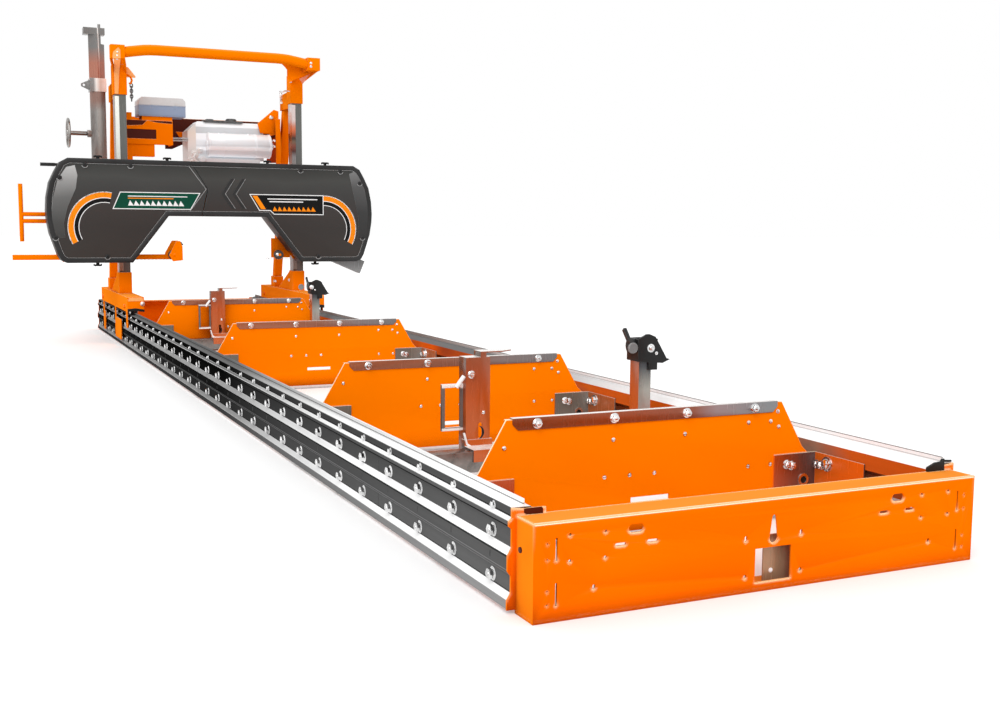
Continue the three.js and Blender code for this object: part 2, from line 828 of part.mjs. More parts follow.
  const tab = box(leverLeft, leverRight, 0, leverLength, -leverPinRadius, leverPinRadius)
    .rotate([THREE.MathUtils.radToDeg(leverAngle), 0, 0]).translate([0, ...leverAxis]);
  const bore = rod('X', ...leverAxis, leverPinRadius + runGap, leverLeft - overrun, leverRight + overrun);
  place(`dog_lever_${i + 1}`, cut(
    join(rod('X', ...leverAxis, leverRadius, leverLeft, leverRight, roundCount), tab),
    bore,
  ), finish.black);
});

// Carriage bases: inverted channels over the rails, with mast feet, keepers, axles and rear braces
const rollerHeight = finHeight + seatGap + grooveRadius;
const rollerPlaces = [mastPlace - baseFront + rollerInset, mastPlace + baseRear - rollerInset];
const mastFront = mastPlace - mastDepth / 2;
const mastBack = mastPlace + mastDepth / 2;

function mastOutline(side, extra) {
  const half = mastWidth / 2 + extra;
  return rectangle(side * fin - half, side * fin + half, mastFront - extra, mastBack + extra);
}

function carriageBase(side) {
  const inner = fin - baseWidth / 2;
  const outer = fin + baseWidth / 2;
  const front = mastPlace - baseFront;
  const back = mastPlace + baseRear;
  const low = baseTop - baseDrop;
  const span = (a, b) => (side < 0 ? [-b, -a] : [a, b]);
  const channel = cut(
    box(...span(inner, outer), front, back, low, baseTop),
    box(...span(inner + baseWall, outer - baseWall), front + baseWall, back - baseWall, low - overrun,
      baseTop - baseWall),
  );
  const parts = [channel];
  for (const [set, length, foot] of keepers) {
    const near = front + set;
    parts.push(box(...span(outer - keeperWall, outer), near + length - Math.min(length, keeperStrap),
      near + length, foot, low + baseWall));
    parts.push(box(...span(outer - keeperWall, outer), near, near + length, foot, keeperPlateTop));
  }
  for (const at of rollerPlaces) {
    parts.push(rod('X', at, rollerHeight, axleRadius, ...span(inner, outer)));
    parts.push(rod('X', at, rollerHeight, axleNut, ...span(inner - axleNutReach, inner), 6));
    parts.push(rod('X', at, rollerHeight, axleNut, ...span(outer, outer + axleNutReach), 6));
  }
  parts.push(prism('Z', mastOutline(side, seatGap + footWall), baseTop - baseWall / 2, baseTop + footHeight,
    [mastOutline(side, seatGap)]));
  const gusset = [
    [mastBack + seatGap + footWall / 2, baseTop - baseWall / 2], [mastBack + gussetReach, baseTop - baseWall / 2],
    [mastBack + seatGap + footWall / 2, baseTop + footHeight],
  ];
  for (const across of [-1, 1]) {
    const middle = side * fin + across * (mastWidth / 2 - gussetWall / 2);
    parts.push(prism('X', gusset, middle - gussetWall / 2, middle + gussetWall / 2));
  }
  const footPlace = mastPlace + braceFootSet;
  const topPlace = mastPlace + braceTopSet;
  const lean = new THREE.Vector2(topPlace - footPlace, braceTop - baseTop).normalize();
  const across = new THREE.Vector2(lean.y, -lean.x).multiplyScalar(braceSize / 2);
  const brace = [
    [footPlace + across.x, baseTop - baseWall / 2 + across.y], [topPlace + across.x, braceTop + across.y],
    [topPlace - across.x, braceTop - across.y], [footPlace - across.x, baseTop - baseWall / 2 - across.y],
  ];
  parts.push(prism('X', brace, side * fin - braceSize / 2, side * fin + braceSize / 2));
  const socket = braceSize / 2 + footWall;
  parts.push(box(side * fin - socket, side * fin + socket, footPlace - 2 * socket, footPlace + socket,
    baseTop - baseWall / 2, baseTop + socketHeight));
  const boreTrim = box(...span(inner + baseWall, outer - baseWall), front, back, low - overrun,
    baseTop - baseWall);
  const clean = cut(join(parts), cut(boreTrim, rollerPlaces.map((at) => rod('X', at, rollerHeight,
    axleRadius, ...span(inner, outer)))));
  return clean;
}

place('carriage_base_left', carriageBase(-1), finish.orange);
place('carriage_base_right', carriageBase(1), finish.orange);

// Track rollers, grooved to run on the fins
for (const [word, side] of Object.entries(sides)) {
  rollerPlaces.forEach((at, i) => {
    const middle = side * fin;
    const bore = axleRadius + runGap;
    const profile = [
      [bore, middle - rollerWidth / 2], [rollerRadius, middle - rollerWidth / 2],
      [rollerRadius, middle - grooveWidth], [grooveRadius, middle - grooveWidth / 2],
      [grooveRadius, middle + grooveWidth / 2], [rollerRadius, middle + grooveWidth],
      [rollerRadius, middle + rollerWidth / 2], [bore, middle + rollerWidth / 2],
      [bore, middle - rollerWidth / 2],
    ];
    place(`track_roller_${['front', 'rear'][i]}_${word}`, turned('X', at, rollerHeight, profile),
      finish.steel);
  });
}

// Masts: square tubes with a bright slide strip on the front
for (const [word, side] of Object.entries(sides)) {
  const tube = prism('Z', mastOutline(side, 0), baseTop + seatGap, mastTop, [mastOutline(side, -mastWall)]);
  const left = side * fin - mastWidth / 2;
  const strip = box(left, left + slideWidth, mastFront - slideWall, mastFront + mastWall / 2,
    baseTop + footHeight + slideInset, capBase - slideInset);
  place(`mast_${word}`, join(tube, strip), finish.stainless);
}

// Mast caps: a sleeve on the mast, an arm that leans forward to the crossbar, ears for the brace
function mastCap(side) {
  const middle = side * fin;
  const half = mastWidth / 2 + seatGap + capWall;
  const sleeve = prism('Z', mastOutline(side, seatGap + capWall), capBase, mastTop,
    [mastOutline(side, seatGap)]);
  const front = mastFront - seatGap - capWall;
  const back = mastBack + seatGap + capWall;
  const blockPlace = mastPlace - armSet;
  const lid = box(middle - half, middle + half, front, back, mastTop + seatGap, mastTop + seatGap + capWall);
  const lidRim = cut(
    box(middle - half, middle + half, front, back, mastTop - capWall, mastTop + seatGap + capWall),
    box(middle - half + capWall, middle + half - capWall, front + capWall, back - capWall,
      mastTop - 2 * capWall, mastTop + seatGap),
  );
  const armOutline = [
    [front + capWall / 2, armKnee], [front + capWall / 2, mastTop + seatGap + capWall],
    [front + capWall, mastTop + seatGap + capWall], [blockPlace + blockHalf, armTop],
    [blockPlace - blockHalf, armTop], [blockPlace - blockHalf, armLow], [blockPlace + blockHalf, armLow],
  ];
  const arm = [-1, 1].map((across) => {
    const at = middle + across * (half - capWall / 2);
    return prism('X', armOutline, at - capWall / 2, at + capWall / 2);
  });
  const end = middle + side * armLean;
  const block = box(end - half, end + half - capWall, blockPlace - blockHalf, blockPlace + blockHalf, armLow,
    armTop);
  const ears = [-1, 1].map((across) => {
    const at = middle + across * (braceSize / 2 + seatGap + capWall / 2);
    const outline = [
      [back - capWall / 2, earBase], [mastPlace + braceTopSet + braceSize, earBase],
      [mastPlace + braceTopSet + braceSize, earTop], [back - capWall / 2, earTop + capWall],
    ];
    return prism('X', outline, at - capWall / 2, at + capWall / 2);
  });
  const lower = box(middle - braceSize / 2 - seatGap - capWall, middle + braceSize / 2 + seatGap + capWall,
    back - capWall, back, capBase, earTop);
  const run = front - blockPlace - blockHalf;
  const leaning = arm.map((plate) => plate.warp((point) => {
    point[0] += side * armLean * THREE.MathUtils.clamp((front - point[1]) / run, 0, 1);
  }));
  return join(sleeve, lidRim, lid, ears, lower, leaning, block);
}

for (const [word, side] of Object.entries(sides)) {
  place(`mast_cap_${word}`, mastCap(side), finish.orange);
}

// Crossbar: a round tube, bowed up between the two caps
{
  const end = fin + armLean - mastWidth / 2 - capWall - 2 * seatGap;
  const far = end + barRadius;
  const at = mastPlace - armSet;
  const points = [
    [-far, barRise - barDrop], [-(end + barBend) / 2, barRise - barDrop / 3], [-barBend, barRise],
    [0, barRise], [barBend, barRise], [(end + barBend) / 2, barRise - barDrop / 3], [far, barRise - barDrop],
  ].map(([x, z]) => new THREE.Vector3(x, at, z));
  const path = new THREE.CatmullRomCurve3(points);
  const section = new THREE.Shape(circle(0, 0, barRadius).map((p) => new THREE.Vector2(...p)));
  const bar = new THREE.ExtrudeGeometry(section, { steps: 2 * stepCount, extrudePath: path, bevelEnabled: false });
  const length = box(-end, end, at - 2 * barRadius, at + 2 * barRadius, armKnee, armTop + barRadius);
  place('crossbar', solid(bar).intersect(length), finish.orange);
}

// Outline of the wheel covers, anticlockwise in X and Z, with the throat below the middle
function coverOutline() {
  const bulge = [
    [throatHalf, throatTop], [throatFoot, coverBase],
    ...coverShares.map(([reach, rise]) => [reach * coverHalf, coverBase + rise * (coverTop - coverBase)]),
  ];
  return [...bulge, ...bulge.map(([u, v]) => [-u, v]).reverse()];
}

// Covers: moulded shells, open at the back, split along a chevron
const coverShell = cut(
  prism('Y', coverOutline(), coverFront, panFront - seatGap),
  prism('Y', inset(coverOutline(), coverWall), coverFront + coverWall, panFront + overrun),
);
const facetShare = Math.cos(Math.PI / (2 * roundCount));
const bladeInner = wheelRadius / facetShare + seatGap;
const bladeLow = wheelHeight - bladeInner - bladeWall;
const bladeSlot = box(-throatFoot - bladeSlotHalf, throatFoot + bladeSlotHalf, wheelPlane - bladeSlotHalf,
  panFront + overrun, bladeLow - coverWall, bladeLow + 2 * bladeSlotHalf + coverWall);

function splitSide(side) {
  const reach = side * (coverHalf + overrun);
  const edge = [
    [splitFoot, coverTop + overrun], [splitPeak, splitRise], [splitFoot, coverBase - overrun],
  ].map(([u, v]) => [u + side * splitHalf / 2, v]);
  return prism('Y', [...edge, [reach, coverBase - overrun], [reach, coverTop + overrun]],
    coverFront - overrun, panFront + overrun);
}

const knobHoles = [
  ...knobPlacesTop.map((x) => rod('Z', x, knobPlace, studRadius + runGap, coverTop - 2 * coverWall,
    coverTop + overrun)),
  ...knobPlacesBase.map((x) => rod('Z', x, knobPlace, studRadius + runGap, coverBase - overrun,
    coverBase + 2 * coverWall)),
];
const openShell = cut(coverShell, bladeSlot, knobHoles);
place('cover_left', openShell.intersect(splitSide(-1)), finish.charcoal);
place('cover_right', openShell.intersect(splitSide(1)), finish.charcoal);

// Knobs: a stud through the cover, a hub and two wings
function knob(x, from, up) {
  const at = (a, b) => (up > 0 ? [from + a, from + b] : [from - b, from - a]);
  return join(
    rod('Z', x, knobPlace, studRadius, ...at(-studReach, knobHeight / 2)),
    rod('Z', x, knobPlace, knobRadius, ...at(seatGap, knobHeight)),
    box(x - wingLength / 2, x + wingLength / 2, knobPlace - wingWidth / 2, knobPlace + wingWidth / 2,
      ...at(knobHeight - wingHeight, knobHeight)),
  );
}

knobPlacesTop.forEach((x, i) => place(`cover_knob_${i + 1}`, knob(x, coverTop, 1), finish.black));
knobPlacesBase.forEach((x, i) => {
  place(`cover_knob_${i + 1 + knobPlacesTop.length}`, knob(x, coverBase, -1), finish.black);
});

// Band wheels and blade
const wheelHalf = rimWidth / 2;
const hubFront = wheelPlane - hubReach;
const hubBack = wheelPlane + hubReach;
const wheelProfile = [
  [hubRadius, hubFront], [hubRadius, wheelPlane - webWall / 2],
  [wheelRadius - rimWall, wheelPlane - webWall / 2], [wheelRadius - rimWall, wheelPlane - wheelHalf],
  [wheelRadius, wheelPlane - wheelHalf], [wheelRadius, wheelPlane + wheelHalf],
  [wheelRadius - rimWall, wheelPlane + wheelHalf], [wheelRadius - rimWall, wheelPlane + webWall / 2],
  [hubRadius, wheelPlane + webWall / 2], [hubRadius, hubBack],
];
const idlerBore = shaftRadius + runGap;
place('idler_wheel', turned('Y', -wheelCentre, wheelHeight,
  [[idlerBore, hubFront], ...wheelProfile, [idlerBore, hubBack], [idlerBore, hubFront]]), finish.steel);

const pulleyBack = pulleyFront + pulleyWidth;
const pulleyWeb = pulleyFront + pulleyWidth / 2;
place('drive_wheel', turned('Y', wheelCentre, wheelHeight, [
  [0, hubFront], ...wheelProfile, [shaftRadius, hubBack], [shaftRadius, pulleyFront - pulleyRim / 3],
  [hubRadius, pulleyFront - pulleyRim / 3], [hubRadius, pulleyWeb - webWall / 2],
  [bigPulley - pulleyRim, pulleyWeb - webWall / 2], [bigPulley - pulleyRim, pulleyFront],
  [bigPulley, pulleyFront], [bigPulley, pulleyBack], [bigPulley - pulleyRim, pulleyBack],
  [bigPulley - pulleyRim, pulleyWeb + webWall / 2], [hubRadius, pulleyWeb + webWall / 2],
  [hubRadius, pulleyBack + pulleyRim / 3], [0, pulleyBack + pulleyRim / 3],
]), finish.steel);

// A loop around two wheels of given radii, as an outline in X and Z
function loop(a, b, radiusA, radiusB, count) {
  const line = new THREE.Vector2(b[0] - a[0], b[1] - a[1]);
  const turn = line.angle();
  const open = Math.acos((radiusA - radiusB) / line.length());
  return [
    ...arc(...a, radiusA, turn + open, turn + 2 * Math.PI - open, count),
    ...arc(...b, radiusB, turn - open, turn + open, count),
  ];
}

const idlerAt = [-wheelCentre, wheelHeight];
const driveAt = [wheelCentre, wheelHeight];
const crankAt = [crankCentre, crankHeight];
const bladeOuter = bladeInner + bladeWall;
place('blade', prism('Y', loop(driveAt, idlerAt, bladeOuter, bladeOuter, roundCount),
  wheelPlane - bladeWidth / 2, wheelPlane + bladeWidth / 2,
  [loop(driveAt, idlerAt, bladeInner, bladeInner, roundCount)]), finish.stainless);

const beltMiddle = pulleyFront + pulleyWidth / 2;
const beltBig = bigPulley / facetShare + runGap;
const beltSmall = smallPulley / facetShare + runGap;
place('drive_belt', prism('Y', loop(driveAt, crankAt, beltBig + beltWall, beltSmall + beltWall, roundCount),
  beltMiddle - beltWidth / 2, beltMiddle + beltWidth / 2,
  [loop(driveAt, crankAt, beltBig, beltSmall, roundCount)]), finish.rubber);

const crankBore = crankRadius + runGap;
place('engine_pulley', turned('Y', ...crankAt, [
  [crankBore, pulleyFront], [smallPulley, pulleyFront], [smallPulley, pulleyBack], [crankBore, pulleyBack],
  [crankBore, pulleyFront],
]), finish.steel);

// Sawhead frame: the wheel pan with its bosses and lugs, mast sleeves, rear deck and upper beam
const panBack = panFront + panWall;

function headFrame() {
  const pan = cut(
    prism('Y', inset(coverOutline(), panInset), panFront, panBack),
    box(-wheelCentre - shaftRadius - runGap, -wheelCentre + shaftRadius + slotReach + runGap,
      panFront - overrun, panBack + overrun, wheelHeight - shaftRadius - runGap,
      wheelHeight + shaftRadius + runGap),
    rod('Y', ...driveAt, shaftRadius + 2 * runGap, panFront - overrun, panBack + overrun, roundCount),
  );
  const parts = [pan];
  parts.push(box(-stiffHalf, stiffHalf, panFront - stiffDepth, panFront + panWall / 2, stiffBase,
    stiffBase + plateWall));
  parts.push(box(-stiffHalf, stiffHalf, panFront - stiffDepth, panFront + panWall / 2, stiffTop - plateWall,
    stiffTop));
  for (const side of [-1, 1]) {
    const frontGap = slideWall + sleeveGap;
    const half = mastWidth / 2 + sleeveGap;
    const middle = side * fin;
    const hole = rectangle(middle - half, middle + half, mastFront - frontGap, mastBack + sleeveGap);
    const shell = rectangle(middle - half - sleeveWall, middle + half + sleeveWall, panFront + panWall / 2,
      mastBack + sleeveGap + sleeveWall);
    parts.push(prism('Z', shell, sleeveBase, sleeveTop, [hole]));
    const armMiddle = middle - side * armShift;
    for (const low of [rearBeamBase, rearBeamTop - plateWall]) {
      parts.push(box(armMiddle - armHalf, armMiddle + armHalf, mastBack + sleeveGap + sleeveWall / 2,
        rearBeamFront + rearBeamDepth, low, low + plateWall));
    }
    parts.push(box(armMiddle - plateWall / 2, armMiddle + plateWall / 2,
      mastBack + sleeveGap + sleeveWall / 2, rearBeamFront + rearBeamDepth, rearBeamBase, rearBeamTop));
    const post = side < 0 ? [-postHalf, -postHalf + postWidth] : [postHalf - postWidth, postHalf];
    parts.push(box(...post, rearBeamFront, rearBeamFront + plateWall, rearBeamBase, topBeamTop));
    const web = side < 0 ? [-postHalf, -postHalf + plateWall] : [postHalf - plateWall, postHalf];
    parts.push(box(...web, rearBeamFront, rearBeamFront + rearBeamDepth, rearBeamBase, topBeamTop));
    parts.push(box(...web, rearBeamFront, topBeamFront + topBeamDepth, topBeamBase, topBeamTop));
  }
  const beamHalf = fin - armShift + armHalf;
  parts.push(box(-beamHalf, beamHalf, rearBeamFront, rearBeamFront + rearBeamDepth, rearBeamTop - plateWall,
    rearBeamTop));
  parts.push(box(-beamHalf, beamHalf, rearBeamFront, rearBeamFront + plateWall, rearBeamBase, rearBeamTop));
  parts.push(box(-beamHalf, beamHalf, rearBeamFront, rearBeamFront + rearBeamDepth, rearBeamBase,
    rearBeamBase + plateWall));
  parts.push(box(deckLeft, deckRight, deckFront, deckBack, rearBeamTop - plateWall / 2,
    rearBeamTop + plateWall));
  parts.push(box(-postHalf, postHalf, topBeamFront, topBeamFront + plateWall, topBeamBase, topBeamTop));
  parts.push(box(-postHalf, postHalf, topBeamFront, topBeamFront + topBeamDepth, topBeamTop - plateWall,
    topBeamTop));

  // Slotted box, low box and filter tray at the left
  const slotLeft = boxLeft + boxSlotInset;
  const slotLow = boxBase + boxSlotRise;
  const face = cut(
    box(boxLeft, boxRight, rearBeamFront, rearBeamFront + plateWall, boxBase, boxTop),
    box(slotLeft, slotLeft + boxSlotWidth, rearBeamFront - overrun, rearBeamFront + plateWall + overrun,
      slotLow, slotLow + boxSlotHeight),
  );
  parts.push(face);
  parts.push(box(boxLeft, boxRight, rearBeamFront, rearBeamFront + boxDepth, boxTop - plateWall, boxTop));
  parts.push(box(boxRight - plateWall, boxRight, rearBeamFront, rearBeamFront + boxDepth, boxBase, boxTop));
  parts.push(box(boxLeft, lowBoxRight, rearBeamFront, rearBeamFront + rearBeamDepth, lowBoxBase,
    lowBoxBase + plateWall));
  parts.push(box(boxLeft, lowBoxRight, rearBeamFront, rearBeamFront + plateWall, lowBoxBase,
    boxBase + plateWall));
  parts.push(box(trayLeft, boxRight, rearBeamFront + plateWall, rearBeamFront + boxDepth,
    boxTop - plateWall / 2, trayTop));

  // Gusset plate at the right post
  const gussetLeft = postHalf - 4 * postWidth;
  parts.push(prism('Y', [
    [gussetLeft, topBeamBase], [postHalf, topBeamBase], [postHalf, topBeamTop + 2 * postWidth - plateWall],
    [postHalf - postWidth, topBeamTop + 2 * postWidth], [gussetLeft - postWidth / 2, topBeamBase + 2 * postWidth],
  ], rearBeamFront + rearBeamDepth - plateWall, rearBeamFront + rearBeamDepth));

  // Column shelf, bearing boss, idler rails and lever pin
  parts.push(box(columnCentre - collarHalf, -fin + armShift, mastBack + sleeveGap + sleeveWall / 2,
    columnPlace + collarHalf, shelfTop - shelfWall, shelfTop));
  parts.push(prism('Y', circle(...driveAt, bossRadius, roundCount), panFront + panWall / 2,
    panBack + bossReach, [circle(...driveAt, shaftRadius + 2 * runGap, roundCount)]));
  for (const side of [-1, 1]) {
    const low = wheelHeight + side * (idlerBlock / 2 + runGap + idlerRailWall / 2) - idlerRailWall / 2;
    parts.push(box(-wheelCentre - idlerRailHalf, -wheelCentre + idlerRailHalf, panFront + panWall / 2,
      panBack + idlerDepth, low, low + idlerRailWall));
  }
  parts.push(rod('Y', leverPivotX, leverPivotZ, leverPin, panFront + panWall / 2,
    panBack + leverDepth + seatGap + leverPin));

  // Lugs around the guide bar, and the fixed blade guide's tab and stub
  for (const x of lugPlaces) {
    const low = guideBase - lugMargin;
    const high = guideBase + guideHeight + lugMargin;
    parts.push(cut(
      box(x - lugHalf, x + lugHalf, panFront + panWall / 2, panBack + guideWall + lugMargin, low, high),
      box(x - lugHalf - overrun, x + lugHalf + overrun, panBack, panBack + guideWall + 2 * runGap,
        guideBase - runGap, guideBase + guideHeight + runGap),
    ));
  }
  parts.push(box(tabLeft, tabRight, panFront, panBack, tabBase, tabTop));
  parts.push(rod('Y', fixedGuide, guideCentre, guideStub, wheelPlane - hubReach, panBack - panWall / 2));
  return join(parts);
}

const bladeTop = bladeLow + bladeWall;
const guideCentre = bladeTop + seatGap + guideRollerRadius;
place('head_frame', headFrame(), finish.orange);

// Blade guides: a bar that slides across behind the pan, and two flanged rollers on the blade
const guideBarBack = panBack + seatGap + guideWall;
const guideX = guideRight - guideBracketWidth / 2;
place('guide_bar', join(
  box(guideLeft, guideRight, panBack + seatGap, guideBarBack, guideBase, guideBase + guideHeight),
  box(guideRight - guideBracketWidth, guideRight, panBack + seatGap, guideBarBack, guideBase, guideBracketTop),
  rod('Y', guideX, guideCentre, guideStub, wheelPlane - hubReach, guideBarBack),
), finish.orange);

function guideRoller(x) {
  const bore = guideStub + runGap;
  const front = wheelPlane - bladeWidth / 2;
  const back = wheelPlane + bladeWidth / 2 + seatGap;
  return turned('Y', x, guideCentre, [
    [bore, front], [guideRollerRadius, front], [guideRollerRadius, back], [guideFlangeRadius, back],
    [guideFlangeRadius, back + guideFlangeWall], [bore, back + guideFlangeWall], [bore, front],
  ]);
}

place('guide_roller_left', guideRoller(guideX), finish.steel);
place('guide_roller_right', guideRoller(fixedGuide), finish.steel);

// Idler slide and tension lever
const blockHalfSize = idlerBlock / 2;
place('idler_slide', join(
  box(-wheelCentre - blockHalfSize, -wheelCentre + blockHalfSize, panBack + seatGap,
    panBack + seatGap + idlerDepth, wheelHeight - blockHalfSize, wheelHeight + blockHalfSize),
  rod('Y', ...idlerAt, shaftRadius, hubFront - hubReach / 5, panBack + idlerDepth / 2, roundCount),
), finish.steel);

const leverBack = panBack + seatGap + leverDepth;
place('tension_lever', cut(
  join(
    rod('Y', leverPivotX, leverPivotZ, leverHub, panBack + seatGap, leverBack, roundCount),
    box(leverEnd + leverGrip / 2, leverPivotX, panBack + seatGap, leverBack,
      leverPivotZ - leverHeight / 2, leverPivotZ + leverHeight / 2),
    rod('X', leverBack - leverDepth / 2 + leverGripRadius / 2, leverPivotZ, leverGripRadius, leverEnd,
      leverEnd + leverGrip),
  ),
  rod('Y', leverPivotX, leverPivotZ, leverPin + runGap, panBack - overrun, leverBack + overrun, roundCount),
), finish.black);

// Engine on the deck, with shroud, muffler and crank stub; air filter on its tray
const engineBase = rearBeamTop + plateWall + seatGap;
const shroud = [
  [shroudFront, engineWaist - shroudChamfer], [engineBack, engineWaist - shroudChamfer],
  [engineBack, engineTop - shroudChamfer], [engineBack - shroudChamfer, engineTop],
  [shroudFront + shroudChamfer, engineTop], [shroudFront, engineTop - shroudChamfer],
];
place('engine', join(
  box(engineLeft, engineRight, engineFront, engineBack, engineBase, engineWaist - shroudChamfer + overrun),
  prism('X', shroud, engineLeft, engineRight + shroudChamfer),
  rod('X', mufflerPlace, mufflerHeight, mufflerRadius, mufflerLeft, mufflerRight, roundCount),
  rod('Y', ...crankAt, crankRadius, pulleyFront - crankRadius / 4,
    engineFront + overrun),
  rod('Y', crankCentre, crankHeight, bossRadius, pulleyBack + seatGap, engineFront + overrun),
), finish.silver);

const filterOutline = [
  [filterLeft, trayTop + seatGap], [filterRight, trayTop + seatGap], [filterRight, filterTop - filterChamfer],
  [filterRight - filterChamfer, filterTop], [filterLeft + filterChamfer, filterTop],
  [filterLeft, filterTop - filterChamfer],
];
place('air_filter', prism('Y', filterOutline, filterFront, filterBack), finish.pale);

// Lift column: round tube, collar with lug, square tube and cap
function liftColumn() {
  const tube = prism('Z', circle(columnCentre, columnPlace, columnRadius, roundCount), shelfTop + seatGap,
    collarBase + overrun, [circle(columnCentre, columnPlace, columnRadius - columnWall, roundCount)]);
  const squareHole = circle(columnCentre, columnPlace, (postSquare - 2 * columnWall) / Math.SQRT2, 4);
  const collar = prism('Z', rectangle(columnCentre - collarHalf, columnCentre + collarHalf,
    columnPlace - collarHalf, columnPlace + collarHalf), collarBase, collarTop, [squareHole]);
  const post = prism('Z', circle(columnCentre, columnPlace, postSquare / Math.SQRT2, 4),
    collarTop - overrun, postTop, [squareHole]);
  const cap = box(columnCentre - capLeft, columnCentre + capRight, columnPlace - capHalfDepth,
    columnPlace + capHalfDepth, postTop - overrun, postTop + capHeight);
  const bolt = rod('Z', columnCentre + capBoltSet, columnPlace, capBolt, postTop,
    postTop + capHeight + capBoltRise);
  const notch = box(columnCentre + notchSet, columnCentre + postSquare, columnPlace - postSquare,
    columnPlace + postSquare, postTop - notchHeight, postTop);
  const lugRight = columnCentre - collarHalf;
  const lugMiddle = (collarBase + collarTop) / 2;
  const lug = cut(
    prism('Y', [
      [lugRight + overrun, lugMiddle - lugHeight / 2], [lugRight + overrun, lugMiddle + lugHeight / 2],
      [lugRight - lugReach, lugMiddle + lugWall], [lugRight - lugReach, lugMiddle - lugWall],
    ], columnPlace - lugWall / 2, columnPlace + lugWall / 2),
    rod('Y', lugRight - lugReach + 2 * lugWall, lugMiddle, lugHole, columnPlace - lugWall,
      columnPlace + lugWall),
  );
  const boss = prism('X', circle(columnPlace, handHeight, handHub, roundCount),
    columnCentre - columnRadius - handBoss, columnCentre - columnRadius + columnWall,
    [circle(columnPlace, handHeight, handShaft + runGap, roundCount)]);
  const bossWell = rod('X', columnPlace, handHeight, handShaft + runGap,
    columnCentre - columnRadius - overrun, columnCentre, roundCount);
  return join(cut(tube, bossWell), collar, cut(post, notch), cap, bolt, lug, boss);
}

place('lift_column', liftColumn(), finish.steel);

// Hand wheel with its shaft
function handWheel() {
  const rim = new THREE.TorusGeometry(handRadius, handRod, rodCount / 2, roundCount);
  rim.rotateY(Math.PI / 2);
  rim.translate(handPlace, columnPlace, handHeight);
  const shaft = rod('X', columnPlace, handHeight, handShaft, handPlace - handRod,
    columnCentre - columnRadius, roundCount);
  const hub = rod('X', columnPlace, handHeight, handHub, handPlace - handRod, handPlace + handRod);
  const spokes = Array.from({ length: spokeCount }, (_, i) => {
    const spoke = box(handPlace - handRod / 2, handPlace + handRod / 2, -handRod, handRod, 0, handRadius);
    return spoke.rotate([(360 * i) / spokeCount, 0, 0]).translate([0, columnPlace, handHeight]);
  });
  return join(solid(rim), shaft, hub, spokes);
}

place('hand_wheel', handWheel(), finish.steel);

// Push handle: an upright grip on two tubes, flat against the pan's back
place('push_handle', join(
  rod('Z', pushPlace, panBack + seatGap + pushRadius, pushRadius, pushBase, pushTop),
  pushTubeHeights.map((z) => rod('X', panBack + seatGap + pushRadius, z, pushRadius, pushPlace, pushInner)),
), finish.orange);

// Sawdust chute: an open duct behind the pan's right end, sloping down and outwards
{
  const half = chuteHeight / 2;
  const duct = cut(
    box(0, chuteLength, 0, chuteDepth, -half, half),
    box(-overrun, chuteLength + overrun, chuteWall, chuteDepth - chuteWall, -half + chuteWall,
      half - chuteWall),
  );
  const turnedDuct = duct.rotate([0, THREE.MathUtils.radToDeg(-chuteAngle), 0]);
  place('chute', turnedDuct.translate([chuteX, panBack + seatGap, chuteZ]), finish.steel);
}

// The origin goes to the middle of the mill's base
const bounds = new THREE.Box3().setFromObject(mill);
const middle = bounds.getCenter(new THREE.Vector3());
for (const piece of pieces) piece.geometry.translate(-middle.x, -middle.y, -bounds.min.z);

export default mill;
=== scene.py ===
# Portable band sawmill: finishes, fasteners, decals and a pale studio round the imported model.
# Metres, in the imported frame: X across the track, Y away from the loading end, Z up.
import json
import math

import bmesh
import bpy
from mathutils import Matrix, Vector


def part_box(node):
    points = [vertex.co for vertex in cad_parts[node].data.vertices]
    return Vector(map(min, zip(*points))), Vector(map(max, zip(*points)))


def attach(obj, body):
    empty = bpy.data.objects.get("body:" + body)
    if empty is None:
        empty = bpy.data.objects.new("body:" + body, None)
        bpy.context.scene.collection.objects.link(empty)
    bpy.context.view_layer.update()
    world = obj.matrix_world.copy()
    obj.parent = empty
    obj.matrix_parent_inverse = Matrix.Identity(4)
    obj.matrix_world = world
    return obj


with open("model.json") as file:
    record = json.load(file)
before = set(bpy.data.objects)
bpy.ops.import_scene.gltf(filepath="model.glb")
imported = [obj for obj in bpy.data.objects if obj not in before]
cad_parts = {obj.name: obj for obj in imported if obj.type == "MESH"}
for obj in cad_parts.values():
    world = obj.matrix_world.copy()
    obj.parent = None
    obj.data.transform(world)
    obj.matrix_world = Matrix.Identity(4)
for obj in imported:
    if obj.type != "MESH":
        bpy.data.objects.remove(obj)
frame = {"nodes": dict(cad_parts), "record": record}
NODES = frame["nodes"]
BODY_OF = {node: body for body, nodes in frame["record"]["behaviour"]["bodies"].items() for node in nodes}
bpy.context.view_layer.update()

# Camera, and the photograph's middle and focal length in pixels
SENSOR_WIDTH = 36.0
FOCAL_LENGTH = 42.66
CLIP_END = 200.0
CAMERA_PLACE = Vector((-1.405, -5.233, 0.730))
CAMERA_RIGHT = Vector((0.90617, -0.42283, 0.00793))
CAMERA_DOWN = Vector((-0.04074, -0.10595, -0.99354))
CAMERA_FORWARD = Vector((0.42094, 0.89999, -0.11324))
PHOTO_MIDDLE = (500.0, 360.5)
PHOTO_FOCAL = 1185.0

# Studio
FLOOR_HALF = 60.0
FLOOR_DROP = 0.0005
FLOOR_ALBEDO = 0.9
FLOOR_GLOW = 0.16
SUN_DIRECTION = Vector((-0.42, -0.62, 0.66))
SUN_STRENGTH = 1.55
SUN_ANGLE = 0.9
SKY_LEVEL = 0.80

